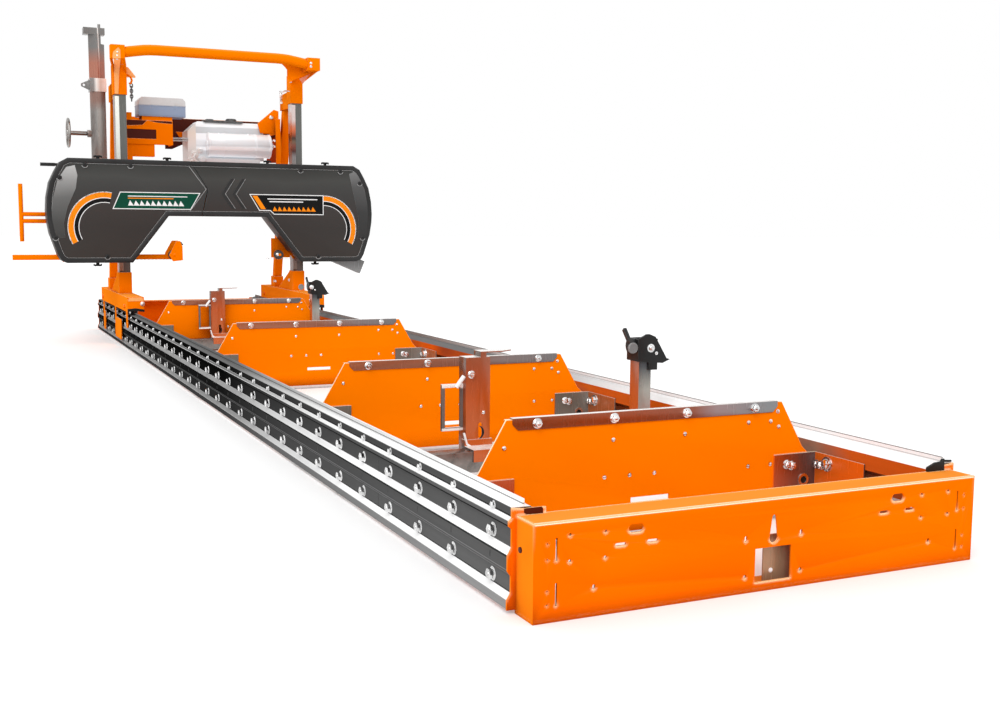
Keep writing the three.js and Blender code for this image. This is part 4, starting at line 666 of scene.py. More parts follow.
# Painted reflections of the sawhead on the right mast's slide strip, by share of its height
MAST_TONES = [
    (0.0, 120, 96, 84), (0.40, 140, 136, 134), (0.58, 134, 128, 128), (0.609, 70, 28, 18),
    (0.64, 126, 62, 46), (0.661, 112, 88, 70), (0.682, 58, 34, 22), (0.702, 160, 74, 42),
    (0.723, 204, 104, 60), (0.744, 202, 128, 104), (0.773, 212, 194, 190), (1.0, 224, 220, 216),
]
SHEETS = {name: mirror_sheet(name, *values) for name, values in {
    "rod_steel": ("Z", 0.139, 0.282, [
        (0.0, 254, 252, 250), (0.07, 254, 252, 250), (0.09, 112, 106, 104), (0.9, 112, 106, 104),
        (0.93, 254, 252, 250), (1.0, 254, 252, 250)], [(0.0, 90, 84, 82), (1.0, 90, 84, 82)]),
    "latch_sheet": ("X", -0.01, 0.08, [(0.0, 172, 134, 100), (1.0, 150, 128, 106)],
                    [(0.0, 150, 120, 90), (1.0, 150, 120, 90)]),
    "column_upper": (*COLUMN_SPAN, [
        (0.0, 112, 110, 108), (0.55, 122, 120, 118), (0.57, 220, 216, 212), (0.62, 220, 216, 212),
        (0.64, 118, 116, 114), (1.0, 120, 118, 116)], [(0.0, 108, 106, 104), (1.0, 120, 118, 116)],
        (170, 168, 166), (1.75, 1.66, (176, 104, 78))),
    "column_collar": ("X", -0.70, -0.575, [
        (0.0, 120, 118, 116), (0.3, 136, 132, 130), (0.42, 236, 232, 228), (0.6, 206, 176, 162),
        (1.0, 252, 246, 242)], [(0.0, 120, 118, 116), (1.0, 140, 136, 132)]),
    "column_sheet": (*COLUMN_SPAN, [
        (0.0, 120, 104, 96), (0.3, 128, 124, 121), (0.5, 164, 161, 156), (0.8, 162, 160, 155),
        (1.0, 140, 136, 132)],
        [(0.0, 112, 106, 102), (0.3, 128, 124, 121), (1.0, 160, 156, 152)],
        (190, 188, 186), (1.38, 1.44, (138, 98, 84))),
    "mast_strip": (*MAST_SPAN, MAST_TONES, MAST_TONES, (244, 240, 236), None, 0.008),
    "mast_strip_left": (*MAST_SPAN, [(0.0, 150, 110, 90), (0.4, 212, 214, 206), (1.0, 248, 250, 242)],
                        [(0.0, 120, 60, 30), (1.0, 150, 90, 60)]),
    "mast_face": (*MAST_SPAN, [(0.0, 86, 70, 62), (0.4, 92, 92, 90), (1.0, 101, 103, 98)],
                  [(0.0, 150, 70, 30), (1.0, 112, 100, 92)], (150, 150, 148)),
    "strip_near": (*STRIP_SPAN, [
        (0.0, 132, 60, 22), (0.45, 150, 68, 28), (0.66, 140, 78, 56), (0.78, 150, 128, 128),
        (1.0, 128, 132, 134)],
        STRIP_SIDE),
    "strip_far": (*STRIP_SPAN, [
        (0.0, 164, 94, 62), (0.5, 146, 98, 78), (0.75, 130, 115, 112), (1.0, 112, 110, 110)], STRIP_SIDE),
    "stop_sheet": ("Z", 0.08, 0.355, [
        (0.0, 196, 96, 42), (0.3, 192, 92, 34), (0.6, 188, 84, 26), (0.85, 166, 86, 54), (1.0, 150, 84, 58)],
        [(0.0, 116, 62, 36), (0.5, 186, 82, 24), (0.8, 132, 60, 34), (1.0, 86, 64, 50)]),
    "dog_sheet": ("Z", 0.04, 0.352, [
        (0.0, 150, 118, 110), (0.45, 168, 150, 142), (0.7, 160, 160, 152), (0.95, 66, 70, 74),
        (1.0, 56, 60, 64)],
        [(0.0, 188, 92, 36), (0.6, 192, 96, 44), (1.0, 178, 98, 66)]),
    "bracket_sheet": (*BRACKET_SPAN, [
        (0.0, 186, 74, 18), (0.3, 150, 62, 24), (0.7, 96, 60, 50), (1.0, 84, 62, 60)],
        [(0.0, 226, 108, 22), (1.0, 222, 104, 20)], (226, 200, 180)),
    "bracket_grey": (*BRACKET_SPAN, [(0.0, 106, 98, 88), (0.6, 110, 102, 92), (1.0, 128, 124, 118)],
                     [(0.0, 150, 92, 60), (1.0, 170, 96, 52)], (226, 216, 206)),
    "chute_sheet": ("Z", 0.44, 0.60, [(0.0, 146, 146, 146), (0.5, 112, 112, 112), (1.0, 60, 60, 60)],
                    [(0.0, 70, 70, 70), (1.0, 60, 60, 60)], (150, 150, 150)),
}.items()}


# Camera and studio


def place_camera():
    camera = add("camera", bpy.data.cameras.new("camera"))
    camera.data.sensor_width = SENSOR_WIDTH
    camera.data.lens = FOCAL_LENGTH
    camera.data.clip_end = CLIP_END
    turn = Matrix((CAMERA_RIGHT, -CAMERA_DOWN, -CAMERA_FORWARD)).transposed()
    camera.matrix_world = Matrix.Translation(CAMERA_PLACE) @ turn.to_4x4()
    bpy.context.scene.camera = camera


def light_studio():
    bpy.context.scene.view_settings.view_transform = "Standard"
    world = bpy.data.worlds.new("studio")
    bpy.context.scene.world = world
    sky = Tree(world)
    level = sky.spread(sky.seen_or_mirrored(), 0.0, 1.0, SKY_LEVEL, 1.0)
    sky.feed(sky.tree.nodes["Background"], {"Color": (1.0, 1.0, 1.0, 1.0), "Strength": level})
    sun = add("softbox", bpy.data.lights.new("softbox", "SUN"))
    sun.data.energy = SUN_STRENGTH
    sun.data.angle = SUN_ANGLE
    sun.rotation_mode = "QUATERNION"
    sun.rotation_quaternion = SUN_DIRECTION.to_track_quat("Z", "Y")


def lay_floor():
    mesh = bpy.data.meshes.new("floor")
    square = corners((-FLOOR_HALF, -FLOOR_HALF), (FLOOR_HALF, FLOOR_HALF))
    mesh.from_pydata([(x, y, -FLOOR_DROP) for x, y in square], [], [(0, 1, 2, 3)])
    pale = bpy.data.materials.new("pale_floor")
    mesh.materials.append(pale)
    coat = Tree(pale)
    nodes = coat.tree.nodes
    nodes.remove(nodes["Principled BSDF"])
    matt = coat.new("BsdfDiffuse", {"Color": (FLOOR_ALBEDO, FLOOR_ALBEDO, FLOOR_ALBEDO, 1.0)})
    glow = coat.new("Emission", {"Strength": coat.sum(coat.seen_or_mirrored(), FLOOR_GLOW, "MULTIPLY")})
    both = coat.new("AddShader", {0: matt.outputs[0], 1: glow.outputs[0]})
    coat.feed(nodes["Material Output"], {"Surface": both.outputs[0]})
    floor = add("floor", mesh)


place_camera()
light_studio()
lay_floor()


# Finishes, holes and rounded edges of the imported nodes

# Holes in the crossmembers' faces, either side of the middle: place across, height, width, height of hole
CROSSMEMBER_HOLES = [
    (0.468, 0.163, 0.006, 0.006), (0.468, 0.113, 0.006, 0.006), (0.392, 0.162, 0.006, 0.006),
    (0.392, 0.112, 0.006, 0.006), (0.416, 0.057, 0.007, 0.010), (0.325, 0.161, 0.034, 0.017),
    (0.359, 0.133, 0.024, 0.006), (0.288, 0.133, 0.024, 0.006), (0.069, 0.112, 0.007, 0.012),
    (0.069, 0.034, 0.007, 0.008), (0.515, 0.150, 0.003, 0.003), (0.515, 0.120, 0.003, 0.003),
    (0.515, 0.060, 0.003, 0.003), (0.515, 0.034, 0.003, 0.003),
]
HOLE_DEPTH = 0.02

# What is cut off, from the middle and from the ground
GUIDE_TAPER = [(-0.310, 0.548), (-0.296, 0.548), (-0.244, 0.640), (-0.310, 0.640)]
ENGINE_CUT = [
    (-0.150, 1.300), (-0.098, 1.300), (-0.034, 1.360), (0.342, 1.360), (0.366, 1.312), (0.376, 1.292),
    (0.450, 1.292), (0.450, 1.420), (-0.150, 1.420),
]


def round_hole(x, z, width, height):
    """The outline of a hole with round ends."""
    radius = min(width, height) / 2
    run = width / 2 - radius
    rise = height / 2 - radius
    return [(x + math.copysign(run, math.cos(a)) + radius * math.cos(a),
             z + math.copysign(rise, math.sin(a)) + radius * math.sin(a)) for a in angles(12, math.pi / 12)]


def on_mast_strip(centre, _):
    """1 on the bright slide strip in front of a mast, else 0."""
    return 1 if centre.y < START + MAST_FRONT - FACE_MARGIN else 0


def on_right_mast(centre, normal):
    """1 on the right mast's slide strip and on its left side, which carry a painted reflection of the
    sawhead, else 0.
    """
    return 1 if on_mast_strip(centre, normal) or normal.x < -0.9 else 0


def on_bunk(near):
    """1 on a bunk's zinc bracket, in front of the sheet, 2 on the sheet's upper edges, which take a painted
    highlight, else 0.
    """
    def pick(centre, normal):
        if centre.y < START + near - FACE_MARGIN:
            return 1
        return 2 if normal.z > 0.12 and abs(normal.y) < 0.3 else 0
    return pick


def on_column(centre, _):
    """The column's sheet, its upper channel or its clamped collar."""
    if centre.z > COLLAR_TOP:
        return 1
    return 2 if centre.z > COLLAR_BASE else 0


def on_handle(centre, _):
    """1 on a stop's bent rod handle, which stands out to the left, else 0."""
    return 1 if centre.x < MIDDLE - STOP_LEFT else 0


def dress_nodes():
    holes = [round_hole(side * x, *size) for x, *size in CROSSMEMBER_HOLES for side in (-1, 1)]
    cutters = {
        f"{end}_crossmember": cutter(f"{end}_holes", holes, face - HOLE_DEPTH, face + HOLE_DEPTH)
        for end, face in (("front", FRONT_LOW.y), ("rear", REAR_HIGH.y))
    }
    cutters |= {
        "guide_bar": cutter("guide_taper", [GUIDE_TAPER], START + 5.43, START + 5.48),
        "engine": cutter("engine_cut", [ENGINE_CUT], START + 5.58, START + 5.92),
    }
    looks = {
        "left_rail": [RAIL_STEEL], "right_rail": [RAIL_STEEL], "front_crossmember": [WIDE_HIGHLIGHT_PAINT],
        "rear_crossmember": [WIDE_HIGHLIGHT_PAINT], "hand_wheel": [LOOKS["stainless_steel"]],
        "guide_roller_left": [DARK_STEEL], "guide_roller_right": [DARK_STEEL],
        "chute": [SHEETS["chute_sheet"]],
        "lift_column": [SHEETS[name] for name in ("column_sheet", "column_upper", "column_collar")],
        "mast_left": [SHEETS["mast_face"], SHEETS["mast_strip_left"]],
        "mast_right": [SHEETS["mast_face"], SHEETS["mast_strip"]],
    }
    picks = {"mast_left": on_mast_strip, "mast_right": on_right_mast, "lift_column": on_column}
    for i, near in enumerate(BUNK_PLACES, 1):
        # The first bunk takes sheets with other painted reflections than the bunks further off
        looks[f"bunk_strip_{i}"] = [SHEETS["strip_near" if i == 1 else "strip_far"]]
        bracket = SHEETS["bracket_sheet" if i == 1 else "bracket_grey"]
        looks[f"bunk_{i}"] = [ORANGE, bracket, FILM["painted_edge_highlight"]]
        picks[f"bunk_{i}"] = on_bunk(near)
    for i, _ in SET_PLACES:
        for node in (f"log_stop_{i}", f"stop_slide_{i}"):
            looks[node] = [SHEETS["stop_sheet"], SHEETS["rod_steel"]]
            picks[node] = on_handle
        looks[f"dog_post_{i}"] = [SHEETS["dog_sheet"]]
    for part in frame["record"]["subparts"]:
        node = part["node"]
        own = looks.get(node, [LOOKS[part["material_slot"]]])
        dress(node, own, cutters.get(node, ()), picks.get(node))


dress_nodes()


# Fasteners

# Along the rails: pitch and first place, height and half width of the rows of nuts, slots and seams
RAIL_PITCH = 0.196
RAIL_FIRST = 0.156
RAIL_ROWS = [(0.057, 0.0115), (0.145, 0.0115), (0.194, 0.0065)]
SLOT_ROW = (0.092, 0.104)
SLOT_HALF = 0.0015
SEAM_PLACES = [0.833, 3.156, 5.479]
SEAM_ROWS = [(0.046, 0.078), (0.128, 0.162)]
SEAM_HALF = 0.0012
MARK_LIFT = 0.0004

# On the bunks and their strips, from the middle and from the ground
STRIP_BOLTS = [-0.304, -0.104, 0.096, 0.294]
STRIP_BOLT_HEIGHT = 0.289
BUNK_BOLTS = [
    (-0.385, 0.237), (-0.104, 0.237), (0.094, 0.237), (-0.126, 0.150), (-0.058, 0.150), (0.010, 0.150),
    (0.282, 0.144), (0.350, 0.144), (0.280, 0.253), (0.347, 0.252), (0.372, 0.237), (0.368, 0.276),
]
BRACKET_BOLTS = [(0.398, 0.140), (0.413, 0.136)]
BRACKET_HOLE = (0.451, 0.097)
BUNK_NUT = 0.0095

# A hexagon nut on a round flange with the bolt's domed end, and a round bolt head on its washer: profiles and
# counts of points, as shares of the half width
NUT = [([(0.0, 1.25), (0.12, 1.25), (0.3, 0.95)], 16), ([(0.22, 1.0), (0.95, 1.0), (1.1, 0.86)], 6),
       ([(1.0, 0.5), (1.17, 0.48), (1.24, 0.3)], 12)]
DOME = [([(0.0, 1.3), (0.2, 1.25), (0.25, 0.9), (0.7, 0.8), (0.95, 0.4)], 16)]

# Bolts by the pixel where the photograph shows them: form, half width and pixels
SEEN_BOLTS = [
    (NUT, 0.010, [(271.3, 117.6)]),
    (DOME, 0.008, [(267.5, 258.8), (277.5, 254.4), (289.3, 280), (274.8, 281.2)]),
    (DOME, 0.006, [(117.4, 52), (117.2, 55.5), (117, 59), (310.9, 63), (310.9, 66.5), (291, 82.2)]),
]


def rail_fasteners():
    count = int((RAIL_HIGH.y - START - RAIL_FIRST) / RAIL_PITCH) + 1
    places = [RAIL_FIRST + i * RAIL_PITCH for i in range(count)]
    for node, outward in (("left_rail", LEFT), ("right_rail", RIGHT)):
        def sheet(height):
            """How far from the middle the rail's outer sheet stands at a height."""
            return NODES[node].ray_cast(at(outward.x * 2.0, 3.0, height), -outward)[1].x - MIDDLE

        nuts = Shape()
        for height, size in RAIL_ROWS:
            for place in places:
                nuts.bolt(NUT, at(sheet(height), place, height), outward, size)
        nuts.done(f"{node}_nuts", "track", "galvanised_steel", CHROME)
        marks = Shape()
        for row, half, at_places in ([(SLOT_ROW, SLOT_HALF, places)]
                                     + [(seam, SEAM_HALF, SEAM_PLACES) for seam in SEAM_ROWS]):
            face = sheet(sum(row) / 2)
            left, right = sorted((face, face + outward.x * MARK_LIFT))
            for place in at_places:
                marks.box(at(left, place - half, row[0]), at(right, place + half, row[1]))
        marks.done(f"{node}_slots", "track", "black_plastic")


def seen(pixel):
    """The distance, body, place and outward direction of what the camera meets at a pixel."""
    met = []
    for node, piece in NODES.items():
        hit, place, normal, _ = piece.ray_cast(CAMERA_PLACE, sight(pixel))
        if hit:
            met.append(((place - CAMERA_PLACE).length, BODY_OF[node], place, normal))
    return min(met, key=lambda row: row[0])


def seen_bolts():
    """Bolts at the places where the photograph shows them, on whatever carries them."""
    shapes = {}
    for form, size, pixels in SEEN_BOLTS:
        for pixel in pixels:
            _, body, place, normal = seen(pixel)
            shapes.setdefault(body, Shape()).bolt(form, place, normal, size)
    for body, shape in sorted(shapes.items()):
        shape.done(f"{body}_bolts", body, "machined_steel", CHROME)


def bunk_hardware():
    """Strip bolts, small bolts on the sheet, and the zinc bracket's fasteners."""
    for i, near in enumerate(BUNK_PLACES, 1):
        shape = Shape()
        for x in STRIP_BOLTS:
            if (i, x) != (4, STRIP_BOLTS[1]):
                shape.bolt(NUT, at(x, near - 0.0033, STRIP_BOLT_HEIGHT), TOWARD, BUNK_NUT)
        for x, z in BUNK_BOLTS:
            shape.bolt(DOME, at(x, near, z), TOWARD, 0.0042)
        for x, z in BRACKET_BOLTS:
            shape.bolt(NUT, at(x, near - 0.004, z), TOWARD, BUNK_NUT)
        for back in (0.012, 0.026):
            shape.bolt(NUT, at(0.488, near - back, 0.135), LEFT, BUNK_NUT)
        shape.bolt(DOME, at(0.488, near - 0.050, 0.142), LEFT, 0.015)
        shape.done(f"bunk_{i}_bolts", "track", "machined_steel", CHROME)
        place = at(BRACKET_HOLE[0], near - 0.004, BRACKET_HOLE[1])
        section = [(0, 0.0165), (0.00275, 0.01595), (0.00275, 0.00935), (0, 0.0088)]
        washer = Shape().hoop(place, TOWARD, section, 24)
        washer.done(f"bunk_{i}_bracket_washer", "track", "machined_steel", CHROME)
        hole = Shape().turned(place, TOWARD, [(0, 0.0099), (0.00088, 0.00946), (0.0011, 0.0055)], 20)
        hole.done(f"bunk_{i}_bracket_hole", "track", "black_plastic")


def stop_hardware():
    crescent = arc((-0.124, 0.137), 0.020, -70, 70, 8) + arc((-0.132, 0.137), 0.022, 58, -58, 8)
    slit = corners((-0.1415, 0.1135), (-0.110, 0.1165))
    for i, back in SET_PLACES:
        face = STOP_FRONT + back
        shape = Shape().bolt(NUT, at(-0.145, face, 0.306), TOWARD, 0.009)
        shape.bolt(DOME, at(-0.107, face, 0.195), TOWARD, 0.0045)
        shape.done(f"stop_{i}_bolts", f"stop_{i}", "machined_steel", CHROME)
        slots = Shape()
        for outline in (crescent, slit):
            slots.flat(outline, START + face - 0.0006, START + face + 0.001)
        slots.done(f"stop_{i}_slots", f"stop_{i}", "black_plastic")


rail_fasteners()
seen_bolts()
bunk_hardware()
stop_hardware()


# Covers, from the middle and from the ground

COVER_SCREWS = {
    "left": [(-0.752, 1.055), (-0.501, 1.056), (-0.889, 0.980), (-0.921, 0.641), (-0.642, 0.533)],
    "right": [(0.506, 1.056), (0.760, 1.056), (0.885, 0.985), (0.902, 0.646), (0.614, 0.530)],
}

# Raised bands along the outline, in pairs of inset and lift, and a screw's pocket and head
RIM = [(0.0005, -0.001), (0.0008, 0.0022), (0.004, 0.004), (0.022, 0.004), (0.027, 0.0012), (0.028, -0.001)]
LINE = [(0.0285, -0.001), (0.0285, 0.001), (0.0298, 0.001), (0.0298, -0.001)]
POCKET = [(-0.001, 0.0135), (0.003, 0.0125), (0.0052, 0.010), (0.0056, 0.006)]
SCREW = [(0.0054, 0.0065), (0.0070, 0.006), (0.0074, 0.003)]

# Where the split lies across, and how deep a relief is let into the cover
SPLIT_SPAN = (-0.18, -0.04)
COVER_SINK = 0.0004

# Artwork: its lift, the keyline's width, and the rings' radii, looks and lift as a share of the artwork's
DECAL_LIFT = 0.0006
KEYLINE = 0.005
RING_RADII = [0.206, 0.201, 0.172, 0.168, 0.146, 0.142]
RING_LOOKS = ["vinyl_keyline", "vinyl_orange", "vinyl_keyline", "vinyl_black", "vinyl_keyline"]
RING_LIFT = 0.001


def cover_front(node):
    """Where a cover's front face is, and its outline in order, as places across and up."""
    mesh = NODES[node].data
    front = min(v.co.y for v in mesh.vertices)
    places = [tuple(round(part, 5) for part in v.co) for v in mesh.vertices]
    edges = set()
    for face in mesh.polygons:
        loop = [places[i] for i in face.vertices]
        if all(abs(place[1] - front) < 0.0001 for place in loop):
            edges.update(zip(loop, loop[1:] + loop[:1]))
    after = {a: b for a, b in edges if (b, a) not in edges}
    loop = [min(after, key=lambda place: place[2])]
    while after[loop[-1]] != loop[0] and len(loop) < len(after):
        loop.append(after[loop[-1]])
    return front, [(place[0], place[2]) for place in loop]


def outer_chain(loop):
    """The cover's outline without its edge along the split."""
    def on_split(a, b):
        low, high = [MIDDLE + x for x in SPLIT_SPAN]
        return abs(a[1] - b[1]) > 0.05 and all(low < p[0] < high for p in (a, b))
    count = len(loop)
    cuts = [i for i in range(count) if on_split(loop[i], loop[(i + 1) % count])]
    first = max(cuts) + 1 if max(cuts) - min(cuts) < count / 2 else min(i for i in cuts if i > count / 2) + 1
    return [loop[(first + i) % count] for i in range(count - len(cuts) + 1)]


def dress_cover(side):
    """A cover's rim, its pale line and glints as painted highlights, and its screws; gives the place of its
    front face.
    """
    node = f"cover_{side}"
    body = f"{side}_cover"
    front, loop = cover_front(node)
    chain = outer_chain(loop)
    for name, profile, look in (("rim", RIM, COVER_RIM), ("line", LINE, PALE_LINE)):
        rings = [[Vector((x + step.x * inset, front - lift, z + step.y * inset)) for inset, lift in profile]
                 for (x, z), step in zip(chain, mitres(chain, closed=False))]
        Shape().loft(rings).done(f"{node}_{name}", body, "charcoal_cover", look)
    pockets = Shape()
    glints = Shape()
    heads = Shape()
    for x, z in COVER_SCREWS[side]:
        place = Vector((MIDDLE + x, front, z))
        crescent = arc((x, z), 0.0180, 195, 345, 12) + arc((x, z), 0.0144, 345, 195, 12)
        glints.flat(crescent, front - 0.0046, front + COVER_SINK)
        pockets.turned(place, TOWARD, POCKET, 20)
        heads.turned(place, TOWARD, SCREW, 12)
    pockets.done(f"{node}_pockets", body, "charcoal_cover", COVER_RIM)
    glints.done(f"{node}_glints", body, "charcoal_cover", PALE_LINE)
    heads.done(f"{node}_screws", body, "black_plastic")
    return front


FRONT = {side: dress_cover(side) for side in ("left", "right")}


def on_cover(side, name, look, outline, lift, slot="charcoal_cover", bevel=0.0):
    """A low relief on a cover's front face."""
    shape = Shape().flat(outline, FRONT[side] - lift, FRONT[side] + COVER_SINK)
    shape.done(name, f"{side}_cover", slot, look, bevel)


def cover_relief():
    """Lens-shaped reliefs at the moulding's ends that carry a painted sheen, its pressed chevrons with edges
    of painted highlight, and a painted highlight along the split.
    """
    on_cover("left", "left_lens", SHEEN, [
        (-0.935, 0.640), (-0.938, 0.760), (-0.932, 0.850), (-0.900, 0.970), (-0.852, 1.040), (-0.806, 1.052),
        (-0.793, 0.995), (-0.804, 0.920), (-0.850, 0.818), (-0.874, 0.723), (-0.868, 0.640)],
        0.0016, bevel=0.0008)
    on_cover("right", "right_lens", DIM_SHEEN, [
        (0.816, 1.042), (0.853, 1.058), (0.905, 1.000), (0.938, 0.870), (0.942, 0.760), (0.930, 0.640),
        (0.870, 0.640), (0.876, 0.772), (0.845, 0.911)], 0.0016, bevel=0.0008)
    for i, tip in enumerate((0.020, 0.085)):
        far = tip + 0.080
        on_cover("right", f"chevron_{i}", COVER_RIM, [
            (tip, 0.905), (tip + 0.058, 0.995), (far, 0.995), (tip + 0.022, 0.905), (far, 0.818),
            (tip + 0.058, 0.818)], 0.0022, bevel=0.0006)
        on_cover("right", f"chevron_edge_{i}", PALE_LINE, [
            (far, 0.995), (far + 0.0025, 0.995), (tip + 0.0245, 0.905), (far + 0.0025, 0.818), (far, 0.818),
            (tip + 0.022, 0.905)], 0.0024)
    for i, z in enumerate((1.060, 0.800)):
        on_cover("left", f"split_edge_{i}", PALE_LINE,
                 [(-0.169, z), (-0.165, z), (-0.068, 0.930), (-0.072, 0.930)], 0.0014)


def decal(name, look, outline, lift):
    """Printed vinyl on the cover that its name begins with."""
    on_cover(name.split("_")[0], name, FILM[look], outline, DECAL_LIFT * lift, None)


def ring_sweep(name, centre, start, end):
    """Nested arcs like a log's rings, which run into the band."""
    for i, look in enumerate(RING_LOOKS):
        outline = arc(centre, RING_RADII[i], start, end, 24) + arc(centre, RING_RADII[i + 1], end, start, 24)
        decal(f"{name}_{i}", look, outline, RING_LIFT * (i + 1))


def teeth(left, right, base, height, count):
    """A row of saw teeth as one outline."""
    step = (right - left) / count
    points = [(left, base)]
    for i in range(count):
        points += [(left + (i + 0.35) * step, base + height), (left + (i + 1) * step, base)]
    return points


def cover_artwork():
    """Plain stripes, rings and saw teeth, in no maker's design."""
    green = [(-0.560, 0.902), (-0.112, 0.902), (-0.165, 0.812), (-0.600, 0.812)]
    field = [(0.196, 0.902), (0.645, 0.902), (0.645, 0.790), (0.340, 0.790), (0.316, 0.812), (0.250, 0.812)]
    decal("left_band_keyline", "vinyl_keyline", grown(green, KEYLINE), 1)
    decal("left_band", "vinyl_green", green, 2)
    decal("left_teeth", "vinyl_keyline", teeth(-0.520, -0.200, 0.828, 0.030, 10), 3)
    decal("left_grain_top", "vinyl_keyline",
          [(-0.520, 0.880), (-0.180, 0.880), (-0.183, 0.885), (-0.520, 0.885)], 3)
    decal("left_grain_low", "vinyl_orange",
          [(-0.520, 0.868), (-0.260, 0.868), (-0.263, 0.873), (-0.520, 0.873)], 3)
    ring_sweep("left_sweep", (-0.650, 0.700), 78, 208)
    decal("right_band_keyline", "vinyl_keyline", grown(field, KEYLINE), 1)
    decal("right_band", "vinyl_black", field, 2)
    decal("right_slash", "vinyl_orange", [(0.206, 0.897), (0.236, 0.897), (0.288, 0.817), (0.258, 0.817)], 3)
    decal("right_teeth", "vinyl_orange", teeth(0.330, 0.600, 0.806, 0.028, 9), 3)
    decal("right_grain_top", "vinyl_keyline",
          [(0.300, 0.876), (0.610, 0.876), (0.610, 0.882), (0.296, 0.882)], 3)
    decal("right_grain_low", "vinyl_keyline",
          [(0.312, 0.860), (0.520, 0.860), (0.520, 0.866), (0.308, 0.866)], 3)
    ring_sweep("right_sweep", (0.655, 0.700), 102, -28)


cover_relief()
cover_artwork()


# Blade, engine, filter, lift hook and guide knob

TOOTH_REACH = 0.60
TOOTH_PITCH = 0.022


def blade_teeth():
    """The blade's saw teeth, along its straight runs."""
    low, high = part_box("blade")
    edge = low.y
    shape = Shape()
    for z in (low.z + 0.0006, high.z - 0.0006):
        for i in range(int(2 * TOOTH_REACH / TOOTH_PITCH)):
            x = MIDDLE - TOOTH_REACH + i * TOOTH_PITCH
            outline = [(x, edge + 0.0005), (x + TOOTH_PITCH * 0.8, edge + 0.0005),
                       (x + TOOTH_PITCH * 0.25, edge - 0.006)]
            shape.prism("Z", outline, z - 0.0005, z + 0.0005)
    shape.done("blade_teeth", "head", "blade_steel")


def engine_details():
    muffler = Shape()
    centre = at(0, 5.662, 1.215)
    for start, width, lift in ((0.014, 0.010, 0.0025), (0.110, 0.012, 0.002), (0.300, 0.012, 0.002),
                               (0.391, 0.010, 0.0025)):
        end = start + width
        section = [(start, 0.0725), (start, 0.073 + lift), (end, 0.073 + lift), (end, 0.0725)]
        muffler.hoop(centre, RIGHT, section, 40)
    for x in (0.076, 0.259):
        muffler.bolt(DOME, at(x, 5.628, 1.280), Vector((0, -0.45, 0.89)), 0.008)
    muffler.turned(centre + RIGHT * 0.012, LEFT, [(-0.004, 0.03), (0.006, 0.028), (0.009, 0.018)], 24)
    muffler.turned(centre + RIGHT * 0.403, RIGHT, [(-0.004, 0.022), (0.020, 0.021), (0.022, 0.016)], 24)
    muffler.done("muffler_trim", "head", "engine_silver")
    top = Shape().box(at(0.000, 5.700, 1.3595), at(0.245, 5.800, 1.369))
    top.turned(at(0.045, 5.745, 1.367), UP, [(0, 0.026), (0.008, 0.026), (0.011, 0.022)], 24)
    top.turned(at(0.180, 5.745, 1.367), UP, [(0, 0.034), (0.012, 0.034), (0.018, 0.028)], 24)
    top.done("engine_top", "head", "engine_silver", LOOKS["cast_iron"], 0.001)
    intake = Shape()
    for x, z, radius, reach in ((-0.078, 1.150, 0.026, 0.034), (-0.045, 1.172, 0.018, 0.046),
                                (-0.030, 1.120, 0.020, 0.030), (-0.090, 1.108, 0.012, 0.040),
                                (-0.060, 1.098, 0.010, 0.052)):
        profile = [(0, radius), (reach * 0.6, radius), (reach * 0.65, radius * 0.7), (reach, radius * 0.66)]
        intake.turned(at(x, 5.616, z), TOWARD, profile, 16)
    intake.tube([at(-0.078, 5.585, 1.150), at(-0.092, 5.560, 1.128), at(-0.070, 5.552, 1.096),
                 at(-0.030, 5.566, 1.090)], 0.006, 10)
    intake.done("intake_parts", "head", "engine_silver")
    starter = Shape().turned(at(0.120, 5.880, 1.240), AWAY, [
        (-0.002, 0.100), (0.012, 0.098), (0.020, 0.088), (0.024, 0.060), (0.024, 0.030), (0.030, 0.026)], 40)
    starter.done("starter_cover", "head", "black_plastic")
    grip = Shape().tube([at(0.190, 5.912, 1.300), at(0.230, 5.914, 1.318)], 0.008)
    grip.tube([at(0.206, 5.882, 1.300), at(0.207, 5.913, 1.307)], 0.003, 8)
    grip.done("starter_grip", "head", "black_plastic")
    rods = Shape()
    for z, radius in ((1.249, 0.006), (1.235, 0.0045)):
        rods.tube([at(-0.203, 5.700, z), at(-0.098, 5.700, z)], radius)
    rods.done("throttle_rods", "head", "machined_steel")


def filter_details():
    low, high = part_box("air_filter")
    base = corners(low, high)
    section = [(-0.001, 1.436), (0.002, 1.436), (0.002, 1.441), (-0.001, 1.441)]
    rings = [[Vector((x - step.x * out, y - step.y * out, z)) for out, z in section]
             for (x, y), step in zip(base, mitres(base))]
    Shape().loft(rings, around=True).done("filter_seam", "head", "filter_plastic")
    clips = Shape()
    for x in (-0.330, -0.190):
        clips.box(at(x, 5.6375, 1.420), at(x + 0.016, 5.641, 1.456))
    clips.turned(at(-0.259, 5.720, 1.484), UP, [(0, 0.018), (0.007, 0.018), (0.009, 0.013)], 20)
    clips.done("filter_clips", "head", "filter_plastic", bevel=0.0008)


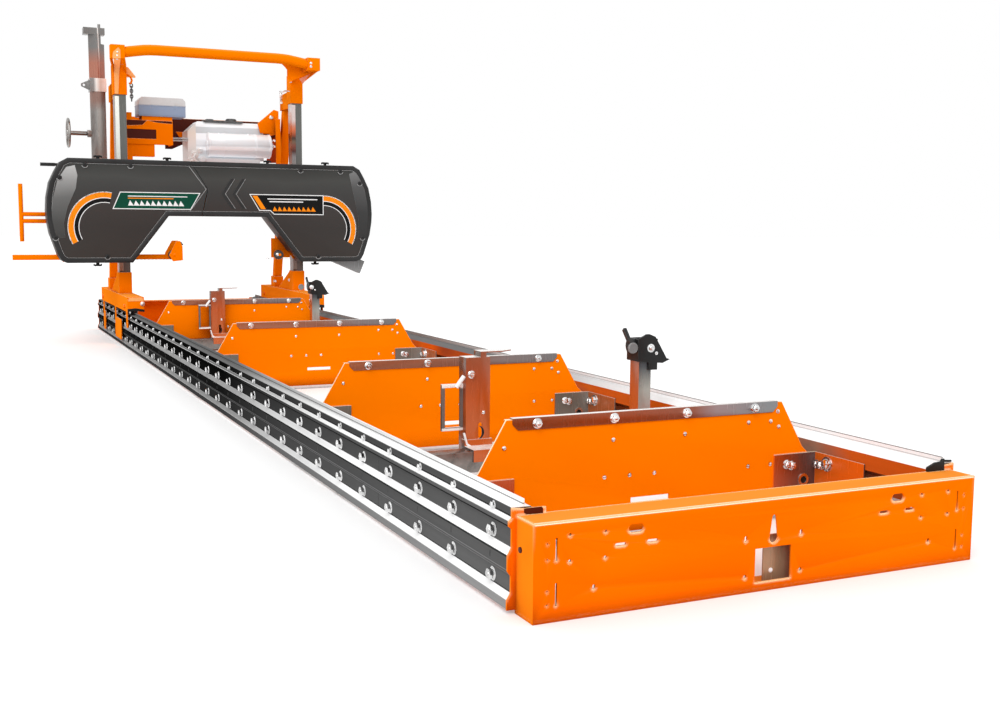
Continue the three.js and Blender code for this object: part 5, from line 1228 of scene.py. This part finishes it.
def lift_hooks():
    chain = Shape()
    for i in range(6):
        middle = at(-0.460, 5.480, 1.530 - i * 0.0155)
        side = AWAY if i % 2 else RIGHT
        link = [middle + side * 0.0075 * math.cos(a) + UP * 0.0125 * math.sin(a) for a in angles(12)]
        chain.tube(link, 0.0032, 8, closed=True)
    chain.done("hook_chain", "carriage", "zinc_steel", LOOKS["cast_iron"])
    bend = [(-0.496, 1.588), (-0.478, 1.590), (-0.462, 1.578), (-0.456, 1.560), (-0.462, 1.545),
            (-0.472, 1.540)]
    hook = Shape().tube([at(x, 5.480, z) for x, z in bend], 0.006)
    hook.done("lift_hook_left", "carriage", "orange_paint")
    coils = [at(0.424 + 0.008 * math.cos(a * 0.9), 5.440 + 0.008 * math.sin(a * 0.9), 1.470 + 0.0011 * a)
             for a in range(60)]
    spring = Shape().tube(coils, 0.0016, 6)
    for z in (1.470, 1.538):
        spring.turned(at(0.424, 5.440, z), UP, [(-0.004, 0.011), (0.003, 0.011), (0.005, 0.008)], 16)
    spring.tube([at(0.424, 5.440, 1.530), at(0.450, 5.440, 1.545), at(0.478, 5.445, 1.545)], 0.005, 10)
    spring.done("lift_spring_right", "head", "machined_steel", CHROME)


def guide_knob():
    """The black star knob that holds the blade guide's bracket."""
    lobes = [(a, 0.014 + 0.003 * math.cos(5 * a)) for a in angles(40)]
    star = [(-0.2064 + radius * math.cos(a), 0.6015 + radius * math.sin(a)) for a, radius in lobes]
    knob = Shape().flat(star, START + 5.428, START + 5.440)
    knob.tube([at(-0.2064, 5.440, 0.6015), at(-0.222, 5.447, 0.6015)], 0.005, 10)
    knob.done("guide_knob", "blade_guide_arm", "black_plastic", bevel=0.0012)


blade_teeth()
engine_details()
filter_details()
lift_hooks()
guide_knob()


# Plates, pins and clips that the photograph shows on the frame, the carriage and the sawhead; some plates are
# painted light, glare or shade

LIT = FILM["paint_in_light"]
SHADE = FILM["paint_in_shade"]
GLARE = FILM["paint_in_glare"]

# Flat plates: name, body, look, near and far side, and an outline, some by the photograph's pixels
# LIT, GLARE and the half-shade film are orange with painted light, glare or shade; the SHADE plates are dark
# sheets that stand for shade behind or inside parts
PLATES = [
    ("latch_plate", "track", SHEETS["latch_sheet"], 0.028, 0.031,
     [(-0.004, 0.006), (0.075, 0.006), (0.075, 0.098), (0.066, 0.107), (0.004, 0.107), (-0.004, 0.098)]),
    ("rail_end_opening", "track", SHADE, 0.070, 0.0716,
     seen_on(0.070, (524.2, 508.6), (541.8, 506.6), (543.2, 508.1), (543.2, 513.1), (526.2, 514.4),
             (524.2, 512.6))),
    ("rail_clip_right", "track", BLACK, 0.070, 0.076,
     [(0.4755, 0.188), (0.4755, 0.1997), (0.498, 0.209), (0.516, 0.2103), (0.520, 0.2165), (0.525, 0.2165),
      (0.526, 0.188)]),
    ("cap_plate_left", "carriage", LIT, 5.4495, 5.4535,
     [(-0.559, 1.476), (-0.559, 1.690), (-0.520, 1.734), (-0.512, 1.734), (-0.530, 1.600), (-0.538, 1.476)]),
    ("cap_web_left", "carriage", ORANGE, 5.456, 5.460,
     [(-0.556, 1.636), (-0.556, 1.690), (-0.520, 1.735), (-0.497, 1.735), (-0.497, 1.636)]),
    ("hook_bracket_left", "carriage", LIT, 5.478, 5.482,
     [(-0.4985, 1.6365), (-0.476, 1.6355), (-0.4355, 1.5845), (-0.4355, 1.5765), (-0.4985, 1.5765)]),
    ("crossbar_end_left", "carriage", LIT, 5.2025, 5.2045,
     seen_on(5.2025, (112.6, 54), (113.4, 51.5), (118.2, 47.2), (120.4, 50), (120.6, 58.4), (112.6, 58.4))),
    ("cap_fill_right", "carriage", ORANGE, 5.300, 5.304,
     seen_on(5.300, (281.6, 60), (309.5, 64), (308.5, 74), (295, 79.5), (287.2, 79.5), (287, 69.5),
             (284.6, 66.6), (281.9, 64))),
    ("cap_glare_right", "carriage", GLARE, 5.296, 5.300,
     seen_on(5.296, (299.5, 78.8), (309.6, 74.2), (306, 79), (302.8, 84))),
    ("box_shade", "head", SHADE, 5.6385, 5.6395, corners((-0.470, 1.204), (-0.204, 1.345))),
    ("box_face", "head", ORANGE, 5.6345, 5.6380,
     [(-0.470, 1.202), (-0.200, 1.202), (-0.200, 1.330), (-0.290, 1.334), (-0.352, 1.346), (-0.380, 1.318),
      (-0.470, 1.312), (-0.470, 1.292), (-0.299, 1.292), (-0.299, 1.236), (-0.470, 1.236)]),
    ("engine_back", "head", SHADE, 5.926, 5.9295,
     [(-0.200, 1.196), (-0.157, 1.196), (-0.092, 1.226), (-0.060, 1.226), (-0.030, 1.300), (0.400, 1.300),
      (0.400, 1.388), (-0.200, 1.388)]),
    ("engine_back_tab", "head", ORANGE, 5.921, 5.926,
     [(-0.132, 1.306), (-0.076, 1.306), (-0.076, 1.272), (-0.112, 1.272)]),
    ("engine_mount", "head", FILM["paint_in_half_shade"], 5.903, 5.907,
     seen_on(5.905, (264.5, 134), (281, 134), (281, 163), (266, 163), (268.5, 150), (266.5, 141))),
    ("engine_mount_shade", "head", SHADE, 5.900, 5.903,
     seen_on(5.900, (262.5, 134), (276, 134), (275, 137.5), (268.5, 140.5))),
    ("engine_mount_lip", "head", GLARE, 5.900, 5.903,
     seen_on(5.900, (268.4, 152), (271.6, 152), (271.6, 157), (269.2, 158.5))),
    ("guide_cheek", "blade_guide_arm", ORANGE, 5.362, 5.366,
     seen_on(5.362, (169.2, 255.3), (176.1, 241.5), (180, 240.8), (182.6, 246.5), (183, 260.3),
             (173.1, 261.4))),
]

# The same at both ends of the carriage: name, look, near and far side, rounding, and the right one's outline
CARRIAGE_PLATES = [
    ("end", ORANGE, 5.052, 5.056, 0.0012,
     [(0.573, 0.244), (0.573, 0.296), (0.560, 0.312), (0.492, 0.312), (0.481, 0.300), (0.481, 0.240)]),
    ("band", LIT, 5.0505, 5.052, PLATE_BEVEL,
     [(0.570, 0.288), (0.560, 0.308), (0.494, 0.308), (0.484, 0.298), (0.484, 0.288)]),
    ("wiper", BLACK, 5.050, 5.056, PLATE_BEVEL,
     [(0.573, 0.228), (0.573, 0.244), (0.530, 0.248), (0.481, 0.240), (0.481, 0.226), (0.520, 0.232)]),
]
SPLIT_BACKING = [(-0.172, 1.086), (-0.072, 0.930), (-0.172, 0.776), (-0.148, 0.776), (-0.048, 0.930),
                 (-0.148, 1.086)]


def plate(name, body, look, near, far, outline, bevel=PLATE_BEVEL):
    """A flat piece that faces the loading end."""
    Shape().flat(outline, START + near, START + far).done(name, body, None, look, bevel)


def domes(name, body, look, slot, *heads):
    """Round heads that look toward the loading end; each holds a place and a radius."""
    shape = Shape()
    for *place, radius in heads:
        shape.bolt(DOME, at(*place), TOWARD, radius)
    shape.done(name, body, slot, look)


def pin(name, body, look, radius, *places):
    """A round bar through places."""
    Shape().tube([at(*place) for place in places], radius).done(name, body, None, look)


def track_details():
    domes("latch_rivet", "track", PIN_WHITE, None, (0.0162, 0.028, 0.0309, 0.004))
    # A cream strip of painted highlight along the crossmember's upper front edge
    section = [(-0.0003, 0.1860), (-0.0001, 0.1876), (0.0008, 0.1893), (0.0024, 0.1902), (0.0040, 0.1904),
               (0.0040, 0.1860)]
    edge = Shape().prism("X", [(START + y, z) for y, z in section], MIDDLE - 0.5415, MIDDLE + 0.5415)
    edge.done("crossmember_edge_highlight", "track", None, FILM["painted_edge_highlight"])
    pin("rail_clip_rod", "track", BLACK, 0.0026, (0.5225, 0.073, 0.2115), (0.547, 0.073, 0.2095))
    spot = Shape().turned(Vector((FRONT_LOW.x, START + 0.018, 0.1396)), LEFT,
                          [(-0.002, 0.006), (0.0006, 0.0056), (0.0008, 0.003)], 16)
    spot.done("crossmember_end_spot", "track", None, SHADE)


def carriage_ends():
    for side, end in ((-1, "left"), (1, "right")):
        for name, look, near, far, bevel, outline in CARRIAGE_PLATES:
            mirrored = [(side * x, z) for x, z in outline]
            plate(f"carriage_{name}_{end}", "carriage", look, near, far, mirrored, bevel)
        shape = Shape().bolt(NUT, at(side * 0.490, 5.052, 0.272), TOWARD, 0.010)
        shape.done(f"carriage_end_bolt_{end}", "carriage", "machined_steel", CHROME)


def head_details():
    domes("engine_mount_bolts", "head", CHROME, "machined_steel",
          (0.4938, 5.903, 1.2705, 0.008), (0.4933, 5.903, 1.2330, 0.008))
    backing = Shape().flat(SPLIT_BACKING, FRONT["left"] + 0.0025, FRONT["left"] + 0.004)
    backing.done("split_backing", "left_cover", None, BLACK, PLATE_BEVEL)
    for i in range(1, 7):
        low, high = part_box(f"cover_knob_{i}")
        middle = (low + high) / 2
        outward = UP if middle.z > 0.8 else -UP
        tip = Vector((middle.x, middle.y, high.z if middle.z > 0.8 else low.z))
        half = (high.x - low.x) / 2
        bar = [tip + RIGHT * half * x - outward * drop
               for x, drop in ((-1, 0.010), (-0.55, 0.002), (0, 0.005), (0.55, 0.002), (1, 0.010))]
        wing = Shape().tube(bar, 0.0045, 10)
        wing.turned(tip - outward * 0.012, outward, [(0, 0.010), (0.010, 0.011), (0.013, 0.006)], 16)
        wing.done(f"knob_wing_{i}", f"knob_{i}", "black_plastic")


def stop_and_dog_details():
    for i, back in SET_PLACES:
        face = STOP_FRONT + back - 0.004
        stop = f"stop_{i}"
        pin(f"{stop}_pin", stop, PIN_WHITE, 0.0062, (-0.170, face, 0.303), (-0.1935, face, 0.2714))
        pin(f"{stop}_wire", stop, PIN_WHITE, 0.0036, (-0.169, face, 0.138), (-0.160, face, 0.106),
            (-0.122, face, 0.080))
        cam = Shape().turned(at(0.318, 1.0785 + back, 0.3765), TOWARD,
                             [(0, 0.016), (0.0045, 0.016), (0.006, 0.014), (0.006, 0.008)])
        cam.done(f"dog_cam_disc_{i}", f"dog_cam_{i}", None, CAM_GREY)
        domes(f"dog_head_pins_{i}", f"dog_clamp_{i}", CHROME, "machined_steel",
              (0.3765, 1.072 + back, 0.3750, 0.010), (0.3965, 1.072 + back, 0.3592, 0.004))


for row in PLATES:
    plate(*row)
track_details()
carriage_ends()
head_details()
stop_and_dog_details()
